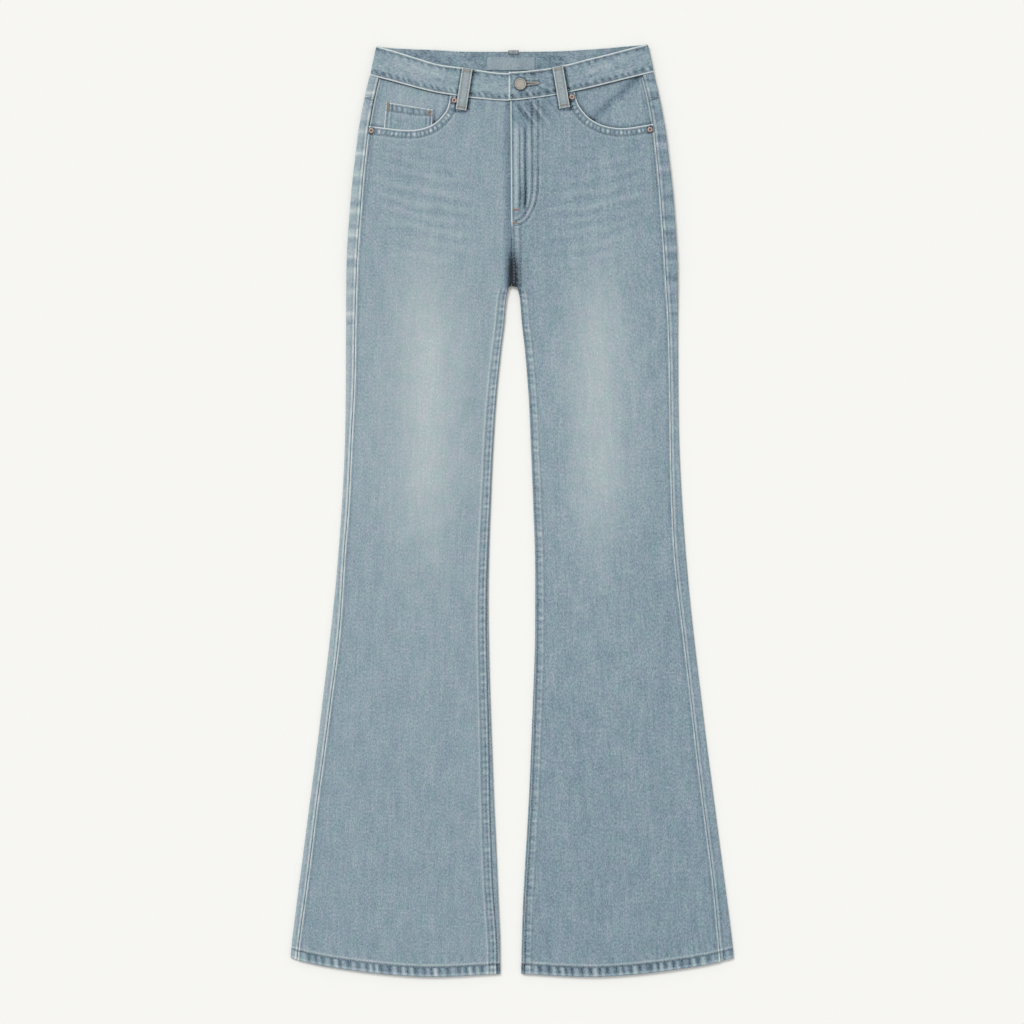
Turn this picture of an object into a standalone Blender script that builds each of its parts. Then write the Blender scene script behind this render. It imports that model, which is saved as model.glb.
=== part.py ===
# Bootcut jeans laid flat, front up. Sizes are in millimetres: "down" is measured from the highest
# point of the waist towards the hems, and "across" from the centre line, positive to the wearer's left.
import math
from collections import namedtuple

import bmesh
import bpy

MILLIMETRE = 0.001

# Driving sizes
LENGTH = 1119.6            # waist to lowest point of the hems
WALL = 1.2                 # one layer of denim
SEAM_GAP = 0.3             # clearance wherever two pieces meet
BAND_WALL = 2.2            # the waistband is folded double
BAND_PROUD = 0.4           # how far the waistband stands out from the panels
PATCH_WALL = 1.0           # facings, fly shield, zip tape
LOOP_WALL = 1.2
LOOP_WIDTH = 12.6
LOOP_LENGTH = 50.0
HEM_HEIGHT = 12.6
HEM_PROUD = 0.35           # a turned hem stands out this far on each face of the cloth
HIP_LOW = 1.9              # lower face of the seat, above the patch pockets and loops it rests on
HIP_SPACE = 2.4            # hollow between back and front at the hips
CENTRE = -0.7              # where the front and back rise seams run, across
CROTCH = 290.4             # how far down the crotch is
FLY_END = 234.0            # how far down the fly opening reaches

Side = namedtuple("Side", "name sign")
RIGHT = Side("right", -1.0)
LEFT = Side("left", 1.0)
SIDES = (RIGHT, LEFT)

# Folded outer edge of the garment, from the centre line
Outline = namedtuple("Outline", "down outer")
OUTLINE = [
    Outline(0, 162.0), Outline(37, 170.8), Outline(64, 177.0), Outline(103, 184.2),
    Outline(127, 187.2), Outline(157, 190.8), Outline(187, 193.8), Outline(247, 198.0),
    Outline(295, 199.2), Outline(427, 199.8), Outline(487, 201.0), Outline(547, 204.0),
    Outline(607, 208.2), Outline(667, 213.6), Outline(727, 220.2), Outline(787, 227.4),
    Outline(847, 234.6), Outline(907, 242.4), Outline(967, 250.2), Outline(1027, 258.0),
    Outline(1075, 264.0), Outline(1098, 266.4),
]

# Folded inner edge of each leg, from the centre line
Inner = namedtuple("Inner", "down right left")
INNER = [
    Inner(290, 4.2, 6.6), Inner(295, 5.0, 7.4), Inner(307, 7.2, 9.6), Inner(337, 9.6, 12.0),
    Inner(367, 13.2, 15.4), Inner(427, 19.0, 20.2), Inner(487, 22.8, 22.8), Inner(547, 25.4, 25.2),
    Inner(607, 27.6, 27.4), Inner(667, 28.6, 27.8), Inner(727, 27.8, 27.4), Inner(787, 26.2, 25.2),
    Inner(847, 24.0, 22.8), Inner(907, 21.8, 20.2), Inner(967, 19.0, 16.8), Inner(1027, 16.6, 13.4),
    Inner(1075, 14.6, 11.8), Inner(1119, 14.2, 10.8),
]

# Seams on the top face. Outseams are measured in from the folded outer edge, inseams are the
# length of cloth from the middle of the folded inner edge up to the seam
Seam = namedtuple("Seam", "down right left")
OUTSEAM = [
    Seam(38, 12.0, 13.8), Seam(65, 11.7, 13.3), Seam(95, 11.7, 13.4), Seam(115, 11.8, 13.7),
    Seam(150, 12.1, 14.3), Seam(186, 12.7, 15.0), Seam(235, 12.8, 15.1), Seam(283, 12.1, 13.8),
    Seam(331, 11.0, 11.0), Seam(407, 9.9, 9.2), Seam(480, 7.5, 9.4), Seam(560, 7.6, 11.5),
    Seam(613, 7.2, 12.7), Seam(715, 10.3, 11.5), Seam(800, 9.7, 12.0), Seam(915, 8.8, 13.0),
    Seam(1003, 9.4, 13.3), Seam(1082, 8.6, 15.8), Seam(1119, 8.6, 15.8),
]
INSEAM = [
    Seam(290, 0.2, 0.2), Seam(350, 0.6, 0.4), Seam(427, 1.1, 0.7), Seam(560, 1.6, 0.9),
    Seam(674, 3.1, 1.3), Seam(815, 4.0, 2.2), Seam(994, 6.9, 2.9), Seam(1082, 4.8, 2.9),
    Seam(1119, 4.8, 2.9),
]

# Waist edges against the share of the half width: -1 is the right side fold, 1 the left one
Waist = namedtuple("Waist", "share front_top front_seam back_top")
WAIST = [
    Waist(-1.00, 2.4, 37.8, 2.4), Waist(-0.85, 9.1, 44.2, 4.4), Waist(-0.70, 16.8, 51.2, 5.6),
    Waist(-0.55, 24.0, 57.6, 6.5), Waist(-0.40, 27.6, 61.8, 8.0), Waist(-0.25, 31.0, 65.5, 8.4),
    Waist(0.00, 33.7, 67.9, 8.4), Waist(0.25, 29.5, 62.8, 8.2), Waist(0.40, 24.7, 58.0, 7.4),
    Waist(0.55, 18.4, 52.4, 5.9), Waist(0.70, 12.4, 46.2, 4.2), Waist(0.85, 6.0, 39.8, 1.9),
    Waist(1.00, 0.0, 33.6, 0.0),
]
WAIST_TOP_HALF = 163.2     # half width along the waistband's upper edge
WAIST_SEAM_HALF = 170.4    # half width along its lower seam
BACK_BAND_HEIGHTS = (35.4, 33.6)   # of the waistband at its right and left fold, down the back

# Curved pocket openings, from the waistband seam to the outseam
Opening = namedtuple("Opening", "across down")
OPENINGS = {
    RIGHT: [
        Opening(-74.4, 63.6), Opening(-78.0, 78.0), Opening(-85.4, 88.4), Opening(-93.6, 95.6),
        Opening(-104.4, 100.6), Opening(-117.6, 103.2), Opening(-134.4, 103.0), Opening(-151.0, 101.0),
    ],
    LEFT: [
        Opening(75.6, 60.0), Opening(79.2, 72.0), Opening(86.4, 82.4), Opening(94.8, 90.4),
        Opening(108.0, 97.2), Opening(124.8, 100.8), Opening(140.4, 100.6), Opening(153.6, 98.6),
    ],
}
OPENING_END_DOWN = {RIGHT: 98.6, LEFT: 96.0}

# Lowest point of a leg's hem against the share of its width, 0 at the inseam fold
Hem = namedtuple("Hem", "share down")
HEM = [
    Hem(0.00, 1116.0), Hem(0.10, 1117.4), Hem(0.25, 1119.3), Hem(0.35, 1119.6), Hem(0.45, 1118.4),
    Hem(0.58, 1115.6), Hem(0.72, 1111.2), Hem(0.86, 1105.6), Hem(0.95, 1100.6), Hem(1.00, 1097.2),
]

# Height of the lower face, hollow between the sheets, and crown of the upper sheet
Height = namedtuple("Height", "down low space crown")
HEIGHTS = [
    Height(0, HIP_LOW, HIP_SPACE, 0.0), Height(262, HIP_LOW, HIP_SPACE, 0.0),
    Height(290, 1.5, 1.8, 0.1), Height(320, 0.5, 1.2, 0.5), Height(350, 0.0, 0.9, 0.9),
    Height(430, 0.0, 0.9, 1.8), Height(967, 0.0, 0.9, 1.8), Height(1030, 0.2, 1.2, 1.3),
    Height(1064, 0.35, 1.4, 1.0), Height(1119, 0.35, 1.4, 0.8),
]

# Fly: the left front lies over the right one
Fly = namedtuple("Fly", "down left_edge right_edge lift")
FLY = [
    Fly(60, -1.9, 2.5, 1.5), Fly(205, -1.0, 2.4, 1.5), Fly(222, -0.8, 1.0, 1.5),
    Fly(FLY_END, -0.55, -0.85, 1.5), Fly(246, -0.55, -0.85, 1.0), Fly(262, -0.55, -0.85, 0.3),
    Fly(275, -0.55, -0.85, 0.0), Fly(CROTCH, -0.55, -0.85, 0.0),
]
FLY_FLAT = 26.0            # the lift is even this far across
FLY_LEVEL = 42.0           # and gone by here

# Rise of the right front over the hidden foot of the coin pocket
COIN_RISE = 0.45
COIN_REACH = (-163.0, -86.0)
COIN_FOOT = 114.0

YOKE_SIDE = 64.0           # yoke seam at the folded side edge
YOKE_CENTRE = 115.0        # and at the centre back

LEVELS = [
    187, 205, 222, FLY_END, 246, 262, 275, 283, 287.5, CROTCH, 292.5, 297, 306, 320, 338, 360,
    390, 430, 487, 547, 607, 667, 727, 787, 847, 907, 967, 1027, 1064,
]
BORDER_ROWS = 5            # rows between a panel's top border and the first level
FRONT_SHARES = 12
FRONT_BEND_SHARES = (0.0, 0.34, 0.67, 1.0)
BACK_SHARES = 5
INNER_STEPS = 8
INNER_LEAD = 3.0           # fine steps go on this far past the inner bend
HEM_AT = 1105.0            # where the width of a leg's hem is read
YOKE_ROWS = 3

DENIM = (0.27, 0.37, 0.43)
DENIM_INSIDE = (0.20, 0.29, 0.34)
THREAD_GREY = (0.36, 0.37, 0.36)
METAL_GREY = (0.42, 0.40, 0.37)
COPPER = (0.55, 0.33, 0.20)


def clear_scene():
    for item in list(bpy.data.objects):
        bpy.data.objects.remove(item, do_unlink=True)


def make_look(name, colour, roughness, metallic=0.0):
    look = bpy.data.materials.new(name)
    look.use_nodes = True
    shader = look.node_tree.nodes["Principled BSDF"]
    shader.inputs["Base Color"].default_value = (*colour, 1.0)
    shader.inputs["Roughness"].default_value = roughness
    shader.inputs["Metallic"].default_value = metallic
    return look


def blend(start, end, share):
    return start + (end - start) * share


def ease(share):
    share = min(1.0, max(0.0, share))
    return share * share * (3.0 - 2.0 * share)


def curve(table, column, at):
    """Smooth curve through one column of a table whose rows are sorted by their first column."""
    if at <= table[0][0]:
        return getattr(table[0], column)
    if at >= table[-1][0]:
        return getattr(table[-1], column)
    index = next(i for i in range(len(table) - 1) if at <= table[i + 1][0])

    def slope(i):
        low, high = max(i - 1, 0), min(i + 1, len(table) - 1)
        rise = getattr(table[high], column) - getattr(table[low], column)
        return rise / (table[high][0] - table[low][0])

    first, second = table[index], table[index + 1]
    width = second[0] - first[0]
    t = (at - first[0]) / width
    start, end = getattr(first, column), getattr(second, column)
    return (start * (1 + 2 * t) * (1 - t) ** 2 + slope(index) * width * t * (1 - t) ** 2
            + end * t * t * (3 - 2 * t) + slope(index + 1) * width * t * t * (t - 1))


def straight(table, column, at):
    """Straight lines through one column of a table."""
    if at <= table[0][0]:
        return getattr(table[0], column)
    for first, second in zip(table, table[1:]):
        if at <= second[0]:
            share = (at - first[0]) / (second[0] - first[0])
            return blend(getattr(first, column), getattr(second, column), share)
    return getattr(table[-1], column)


def outer_edge(down):
    return curve(OUTLINE, "outer", down)


def inner_edge(side, down):
    return curve(INNER, side.name, down)


def outseam_edge(side, down):
    """Distance of the outseam from the centre line."""
    return outer_edge(down) - curve(OUTSEAM, side.name, down)


def heights(down, turned):
    """Lower face, upper face and wall of the tube; a turned hem is thicker both ways."""
    low = straight(HEIGHTS, "low", down)
    space = straight(HEIGHTS, "space", down)
    wall = WALL
    if turned:
        low -= HEM_PROUD
        space -= 2 * HEM_PROUD
        wall += 2 * HEM_PROUD
    return low, low + 2 * wall + space, wall


def crown(side, across, down):
    """Soft rise of a leg's upper sheet between its two folded edges."""
    inner = inner_edge(side, down) if down > CROTCH else 0.0
    share = (abs(across) - inner) / (outer_edge(down) - inner)
    share = min(1.0, max(0.0, share))
    return straight(HEIGHTS, "crown", down) * (1.0 - (2.0 * share - 1.0) ** 2)


def front_lift(side, across, down):
    """How far a front panel rises over what lies under it: the fly, or the coin pocket."""
    if side is LEFT:
        return straight(FLY, "lift", down) * (1.0 - ease((across - FLY_FLAT) / (FLY_LEVEL - FLY_FLAT)))
    first, last = COIN_REACH
    edges = ease((across - first + 6.0) / 6.0) * ease((last + 10.0 - across) / 10.0)
    return COIN_RISE * edges * (1.0 - ease((down - COIN_FOOT) / 40.0))


def inner_fold(side, down, radius, is_front):
    """Where a panel's inner border runs: its place, the reach of its bend, and how far it bends."""
    if down > CROTCH + 0.1:
        return inner_edge(side, down), radius, 1.0
    if is_front:
        place = straight(FLY, side.name + "_edge", down) * side.sign
    else:
        place = CENTRE * side.sign + SEAM_GAP / 2
    reach = blend(radius, 4.5, ease((down - 283.0) / 7.0))
    drop = ease((down - 281.0) / (CROTCH - 281.0)) ** 2
    return place, reach, drop


def inner_point(side, down, along, depth, is_front, turned=False):
    """Point at a length of cloth from the inner fold, positive over the top, negative below."""
    low, top, _ = heights(down, turned)
    radius = (top - low) / 2
    quarter = radius * math.pi / 2
    place, reach, drop = inner_fold(side, down, radius, is_front)
    bend = min(abs(along), quarter) / quarter * math.pi / 2
    out = place + depth * drop + (reach - depth * drop) * (1 - math.cos(bend))
    out += max(0.0, abs(along) - quarter)
    across = side.sign * out
    rise = (radius - depth) * (1 - drop * (1 - math.sin(bend)))
    if along > 0 or (along == 0 and is_front):
        height = (low + top) / 2 + rise + crown(side, across, down)
    else:
        height = (low + top) / 2 - rise
    if is_front:
        height += front_lift(side, across, down)
    return across, down, height


def outer_point(side, down, along, depth, turned=False):
    """Point at a length of cloth from the outer fold, positive over the top, negative below."""
    low, top, _ = heights(down, turned)
    radius = (top - low) / 2
    quarter = radius * math.pi / 2
    bend = min(abs(along), quarter) / quarter * math.pi / 2
    out = outer_edge(down) - depth - (radius - depth) * (1 - math.cos(bend))
    out -= max(0.0, abs(along) - quarter)
    across = side.sign * out
    rise = (radius - depth) * math.sin(bend)
    if along > 0:
        return across, down, (low + top) / 2 + rise + crown(side, across, down) * math.sin(bend)
    return across, down, (low + top) / 2 - rise


def top_point(side, across, down, depth, turned=False):
    _, top, _ = heights(down, turned)
    height = top - depth + crown(side, across, down) + front_lift(side, across, down)
    return across, down, height


def low_point(across, down, depth, turned=False):
    low, _, _ = heights(down, turned)
    return across, down, low + depth


def front_seam_down(across):
    return curve(WAIST, "front_seam", across / WAIST_SEAM_HALF)


def back_band_seam(share):
    right, left = BACK_BAND_HEIGHTS
    return curve(WAIST, "back_top", share) + blend(right, left, (share + 1) / 2)


def back_seam_down(across):
    return back_band_seam(across / WAIST_SEAM_HALF)


def yoke_seam_down(across):
    share = min(1.0, abs(across) / outer_edge(YOKE_SIDE))
    return blend(YOKE_CENTRE, YOKE_SIDE, share)


def hem_down(side, across):
    inner = inner_edge(side, HEM_AT)
    share = (abs(across) - inner) / (outer_edge(HEM_AT) - inner)
    return curve(HEM, "down", share)


def metres(point):
    across, down, height = point
    return across * MILLIMETRE, (LENGTH / 2 - down) * MILLIMETRE, height * MILLIMETRE


def add_object(name, mesh, look, collection):
    made = bpy.data.objects.new(name, mesh)
    made.data.materials.append(look)
    collection.objects.link(made)
    return made


def loft_wall(name, outer_rows, inner_rows, look, collection):
    """Closed wall between two grids of points, the cloth's outer and inner face."""
    shape = bmesh.new()
    faces = [[[shape.verts.new(metres(point)) for point in row] for row in rows]
             for rows in (outer_rows, inner_rows)]
    last_row, last_step = len(outer_rows) - 1, len(outer_rows[0]) - 1
    for grid in faces:
        for i in range(last_row):
            for j in range(last_step):
                shape.faces.new((grid[i][j], grid[i][j + 1], grid[i + 1][j + 1], grid[i + 1][j]))
    outer, inner = faces
    rim = [(0, j) for j in range(last_step)] + [(i, last_step) for i in range(last_row)]
    rim += [(last_row, j) for j in range(last_step, 0, -1)] + [(i, 0) for i in range(last_row, 0, -1)]
    for (i, j), (k, m) in zip(rim, rim[1:] + rim[:1]):
        shape.faces.new((outer[i][j], outer[k][m], inner[k][m], inner[i][j]))
    return finish_mesh(name, shape, look, collection)


def loft_rings(name, rings, look, collection):
    """Closed bar through rings of points, with a flat end at each end."""
    shape = bmesh.new()
    loops = [[shape.verts.new(metres(point)) for point in ring] for ring in rings]
    count = len(loops[0])
    for first, second in zip(loops, loops[1:]):
        for j in range(count):
            k = (j + 1) % count
            shape.faces.new((first[j], first[k], second[k], second[j]))
    shape.faces.new(loops[0])
    shape.faces.new(loops[-1][::-1])
    return finish_mesh(name, shape, look, collection)


def finish_mesh(name, shape, look, collection):
    bmesh.ops.recalc_face_normals(shape, faces=shape.faces)
    mesh = bpy.data.meshes.new(name)
    shape.to_mesh(mesh)
    shape.free()
    mesh.shade_smooth()
    mesh.set_sharp_from_angle(angle=math.radians(50))
    return add_object(name, mesh, look, collection)


def flat_piece(name, outline, low, high, look, collection):
    """Flat cut piece: a filled outline of (across, down) points between two heights."""
    shape = bpy.data.curves.new(name, "CURVE")
    shape.dimensions = "2D"
    shape.fill_mode = "BOTH"
    shape.extrude = (high - low) / 2 * MILLIMETRE
    line = shape.splines.new("POLY")
    line.points.add(len(outline) - 1)
    for point, (across, down) in zip(line.points, outline):
        x, y, _ = metres((across, down, 0.0))
        point.co = (x, y, 0.0, 1.0)
    line.use_cyclic_u = True
    made = add_object(name, shape, look, collection)
    made.location.z = (low + high) / 2 * MILLIMETRE
    return made


def turned_piece(name, profile, across, down, height, steps, look, collection):
    """Turned piece from a profile of (radius, height) points, listed from the top down."""
    mesh = bpy.data.meshes.new(name)
    points = [(radius * MILLIMETRE, 0.0, rise * MILLIMETRE) for radius, rise in profile]
    mesh.from_pydata(points, [(i, i + 1) for i in range(len(points) - 1)], [])
    made = add_object(name, mesh, look, collection)
    screw = made.modifiers.new("Turn", "SCREW")
    screw.steps = steps
    screw.render_steps = steps
    screw.use_merge_vertices = True
    screw.merge_threshold = 0.00001
    screw.use_smooth_shade = True
    made.location = metres((across, down, height))
    return made


def row_places(first_level, blend_rows):
    """Rows of a leg panel from its top border to its hem: how each row finds its own depth."""
    rows = [("border", i / blend_rows) for i in range(blend_rows)]
    rows += [("level", level) for level in LEVELS if level >= first_level]
    rows += [("hem", HEM_HEIGHT + 0.7), ("turned", HEM_HEIGHT - 0.5), ("turned", 0.0)]
    return rows


def row_down(row, top_down, first_level, side, across):
    kind, value = row
    if kind == "border":
        return blend(top_down, first_level, value)
    if kind == "level":
        return value
    return hem_down(side, across) - value


def build_front(side, look, collection):
    first_level = LEVELS[0]
    opening = OPENINGS[side]
    rows = row_places(first_level, BORDER_ROWS)
    outer_rows, inner_rows = [], []
    top_down = front_seam_down(CENTRE) + SEAM_GAP
    border_across = side.sign * inner_edge(side, HEM_AT)
    for row in rows:
        is_turned = row[0] == "turned"
        faces = ([], [])
        # The first columns lie along the inner border, where the cloth may bend over the fold
        for share in FRONT_BEND_SHARES:
            down = row_down(row, top_down, first_level, side, border_across)
            low, top, wall = heights(down, is_turned)
            quarter = (top - low) / 2 * math.pi / 2
            start = SEAM_GAP / 2 + (curve(INSEAM, side.name, down) if down > CROTCH else 0.0)
            for face, depth in zip(faces, (0.0, wall)):
                face.append(inner_point(side, down, start + share * quarter, depth, True, is_turned))
        # The others are spread to the outseam, and at the top follow the waist and the opening
        start_across = faces[0][-1][0]
        for step in range(1, FRONT_SHARES + 1):
            top_across, column_top = front_top(side, step, opening)
            across = top_across
            for _ in range(3):
                down = row_down(row, column_top, first_level, side, across)
                end_across = side.sign * (outseam_edge(side, down) - SEAM_GAP)
                across = blend(start_across, end_across, step / FRONT_SHARES)
                if row[0] == "border" and step < FRONT_SHARES:
                    across = blend(top_across, across, ease(row[1]))
            _, _, wall = heights(down, is_turned)
            for face, depth in zip(faces, (0.0, wall)):
                face.append(top_point(side, across, down, depth, is_turned))
        outer_rows.append(faces[0])
        inner_rows.append(faces[1])
    return loft_wall("front_" + side.name, outer_rows, inner_rows, look, collection)


def front_top(side, step, opening):
    """Where a column of a front panel starts: on the waistband seam, then along the opening."""
    seam_steps = FRONT_SHARES - len(opening)
    if step < seam_steps:
        across = opening[0].across * step / seam_steps
        return across, front_seam_down(across) + SEAM_GAP
    if step < FRONT_SHARES:
        point = opening[step - seam_steps]
        if step == seam_steps:
            return point.across, front_seam_down(point.across) + SEAM_GAP
        return point.across, point.down
    down = OPENING_END_DOWN[side]
    return side.sign * (outseam_edge(side, down) - SEAM_GAP), down


def wrapped_columns(side, down_of, is_turned, with_inner):
    """Columns of a back piece: over the outer fold, along the floor side, then to its inner border."""
    columns = []
    down = down_of(side.sign * outer_edge(0.0))
    down = down_of(side.sign * outer_edge(down))
    low, top, wall = heights(down, is_turned)
    radius = (top - low) / 2
    quarter = radius * math.pi / 2
    border = quarter + curve(OUTSEAM, side.name, down) - radius
    for along in (border, quarter, quarter / 2, 0.0, -quarter / 2, -quarter):
        columns.append([outer_point(side, down, along, depth, is_turned) for depth in (0.0, wall)])
    outer_across = columns[-1][0][0]
    down = down_of(side.sign * inner_edge(side, HEM_AT))
    inner_columns = []
    low, top, wall = heights(down, is_turned)
    quarter = (top - low) / 2 * math.pi / 2
    start = curve(INSEAM, side.name, down) if down > CROTCH else 0.0
    if with_inner:
        reach = start + quarter + INNER_LEAD
        for step in range(INNER_STEPS, -1, -1):
            along = start - SEAM_GAP / 2 - reach * step / INNER_STEPS
            if step == 0 and down <= CROTCH:
                along = 0.0
            place = down_of(inner_point(side, down, along, 0.0, False, is_turned)[0])
            inner_columns.append([inner_point(side, place, along, depth, False, is_turned)
                                  for depth in (0.0, wall)])
        inner_across = inner_columns[0][0][0]
    else:
        inner_across = CENTRE + side.sign * SEAM_GAP / 2
    last = BACK_SHARES if with_inner else BACK_SHARES + 1
    for step in range(1, last):
        across = blend(outer_across, inner_across, step / BACK_SHARES)
        place = down_of(across)
        _, _, wall = heights(place, is_turned)
        columns.append([low_point(across, place, depth, is_turned) for depth in (0.0, wall)])
    return columns + inner_columns


def build_back(side, look, collection):
    first_level = LEVELS[0]
    outer_rows, inner_rows = [], []
    for row in row_places(first_level, BORDER_ROWS):
        def down_of(across, row=row):
            return row_down(row, yoke_seam_down(across) + SEAM_GAP, first_level, side, across)

        columns = wrapped_columns(side, down_of, row[0] == "turned", True)
        outer_rows.append([column[0] for column in columns])
        inner_rows.append([column[1] for column in columns])
    return loft_wall("back_" + side.name, outer_rows, inner_rows, look, collection)


def build_yoke(side, look, collection):
    outer_rows, inner_rows = [], []
    # The waistband seam steps a little lower where the band turns over the fold
    side_top = front_seam_down(side.sign * WAIST_SEAM_HALF) + 0.7
    for index in range(YOKE_ROWS + 1):
        def down_of(across, share=index / YOKE_ROWS):
            top = side_top if abs(across) > WAIST_SEAM_HALF - 2 else back_seam_down(across)
            return blend(top + SEAM_GAP, yoke_seam_down(across), share)

        columns = wrapped_columns(side, down_of, False, False)
        # The end on the top face follows the slope of the front waistband seam
        across = columns[0][0][0]
        start = front_seam_down(across) + SEAM_GAP
        shift = (start - columns[0][0][1]) * (1 - index / YOKE_ROWS)
        columns[0] = [(point[0], point[1] + shift, point[2]) for point in columns[0]]
        outer_rows.append([column[0] for column in columns])
        inner_rows.append([column[1] for column in columns])
    return loft_wall("yoke_" + side.name, outer_rows, inner_rows, look, collection)


BAND_LOW = HIP_LOW - BAND_PROUD
BAND_HIGH = HIP_LOW + 2 * WALL + HIP_SPACE + BAND_PROUD
BAND_UNDER_END = 0.16      # share of the half width where the hidden right end stops
BAND_OVER_END = -0.024     # and where the left end on top stops
BAND_SECTION = ((0.0, 0.0), (0.5, 0.0), (0.975, 0.0), (1.0, 0.5), (0.975, 1.0), (0.0, 1.0))
BAND_STEPS = 13            # sections along each run of the waistband
BAND_TURN = (60, 30, 0, -30, -60)


def band_lift(share, is_over):
    """The two ends of the waistband part where they overlap."""
    if is_over:
        return 1.7 * (1 - ease((share - 0.10) / 0.16))
    return -0.8 * ease((share + 0.26) / 0.16)


def band_ring(share, face, bend, lift, shorten):
    """Section of the waistband: face 1 is the front, -1 the back, and bend turns round a fold."""
    radius = (BAND_HIGH - BAND_LOW) / 2
    middle = (BAND_HIGH + BAND_LOW) / 2
    ring = []
    for rise, through in BAND_SECTION:
        if face > 0:
            top = curve(WAIST, "front_top", share) + shorten
            seam = curve(WAIST, "front_seam", share)
        else:
            top = curve(WAIST, "back_top", share)
            seam = back_band_seam(share)
        if bend is not None:
            seam = curve(WAIST, "front_seam", share)
        half = blend(WAIST_SEAM_HALF, WAIST_TOP_HALF, rise)
        depth = through * BAND_WALL
        if bend is None:
            across = share * half
            height = middle + face * (radius - depth) + lift
        else:
            sign = math.copysign(1.0, share)
            across = sign * (half - radius + (radius - depth) * math.cos(bend))
            height = middle + (radius - depth) * math.sin(bend)
        ring.append((across, blend(seam, top, rise), height))
    return ring


def build_waistband(look, collection):
    flat_end = 1 - (BAND_HIGH - BAND_LOW) / 2 / WAIST_TOP_HALF
    rings = []
    for step in range(BAND_STEPS + 1):
        share = blend(BAND_UNDER_END, -flat_end, step / BAND_STEPS)
        rings.append(band_ring(share, 1, None, band_lift(share, False), 1.0 * ease((share + 0.3) / 0.2)))
    for angle in BAND_TURN:
        rings.append(band_ring(-1.0, 1, math.radians(angle), 0.0, 0.0))
    for step in range(BAND_STEPS + 1):
        share = blend(-flat_end, flat_end, step / BAND_STEPS)
        rings.append(band_ring(share, -1, None, 0.0, 0.0))
    for angle in reversed(BAND_TURN):
        rings.append(band_ring(1.0, 1, math.radians(angle), 0.0, 0.0))
    for step in range(BAND_STEPS + 1):
        share = blend(flat_end, BAND_OVER_END, step / BAND_STEPS)
        rings.append(band_ring(share, 1, None, band_lift(share, True), 0.0))
    return loft_rings("waistband", rings, look, collection)


def strip_rings(path, slope):
    """Rings of a flat strip along (across, down, height) points; slope tilts its ends down the cloth."""
    rings = []
    for index, (across, down, height) in enumerate(path):
        before, after = path[max(index - 1, 0)], path[min(index + 1, len(path) - 1)]
        run, rise = after[1] - before[1], after[2] - before[2]
        size = math.hypot(run, rise)
        off_down, off_height = -rise / size * LOOP_WALL / 2, run / size * LOOP_WALL / 2
        half = LOOP_WIDTH / 2
        tilt = slope * half
        rings.append([
            (across - half, down - tilt + off_down, height + off_height),
            (across + half, down + tilt + off_down, height + off_height),
            (across + half, down + tilt - off_down, height - off_height),
            (across - half, down - tilt - off_down, height - off_height),
        ])
    return rings


# Belt loops: centre of the upper end, and on the front how far the lower end lies outwards of it
FrontLoop = namedtuple("FrontLoop", "across run")
FRONT_LOOPS = {RIGHT: FrontLoop(-53.4, -7.8), LEFT: FrontLoop(54.7, 8.5)}
BACK_LOOPS = {RIGHT: -101.0, LEFT: 101.0}
CENTRE_LOOP = 1.8
LOOP_TAB = 2.0             # stitched down end of a loop
LOOP_BOW = 0.5             # how far a loop stands off the waistband at its middle


def build_front_loop(side, look, collection):
    loop = FRONT_LOOPS[side]
    start = curve(WAIST, "front_top", loop.across / WAIST_TOP_HALF)
    seam = front_seam_down(loop.across + loop.run * 0.7)
    path = []
    on_band = BAND_HIGH + SEAM_GAP + LOOP_WALL / 2
    on_panel = BAND_HIGH - BAND_PROUD + SEAM_GAP + LOOP_WALL / 2
    seam_place = seam - start
    places = [0.0, LOOP_TAB] + [seam_place * share for share in (0.25, 0.5, 0.75, 0.94)]
    places += [seam_place + 6.0, LOOP_LENGTH - LOOP_TAB, LOOP_LENGTH]
    for place in places:
        height = on_band + LOOP_BOW * math.sin(math.pi * min(1.0, place / seam_place))
        if place > seam_place:
            height = on_panel if place >= LOOP_LENGTH - LOOP_TAB else on_band
        path.append((loop.across + loop.run * place / LOOP_LENGTH, start + place, height))
    slope = -loop.run / LOOP_LENGTH
    return loft_rings("loop_front_" + side.name, strip_rings(path, slope), look, collection)


def build_back_loop(name, across, turn_over, look, collection):
    start = curve(WAIST, "back_top", across / WAIST_TOP_HALF)
    floor_side = LOOP_WALL / 2
    ring_radius = BAND_WALL / 2 + SEAM_GAP + LOOP_WALL / 2
    middle = BAND_LOW + BAND_WALL / 2
    path = []
    if turn_over:
        path += [(across, start + 5.0, middle + ring_radius), (across, start + 1.0, middle + ring_radius)]
        for angle in (60, 20, -20, -60):
            turn = math.radians(angle)
            path.append((across, start - ring_radius * math.cos(turn), middle + ring_radius * math.sin(turn)))
        path.append((across, start + 1.0, floor_side))
    else:
        path.append((across, start + 0.3, floor_side))
    path += [(across, start + 20.0, floor_side), (across, start + 38.0, floor_side)]
    path += [(across, start + LOOP_LENGTH - 6.0, floor_side + 0.3), (across, start + LOOP_LENGTH, floor_side + 0.4)]
    return loft_rings(name, strip_rings(path, 0.0), look, collection)


FACING_LOW = HIP_LOW + WALL + SEAM_GAP
FACING_UNDERLAP = 17.0     # how far a facing runs on below the front panel


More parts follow.
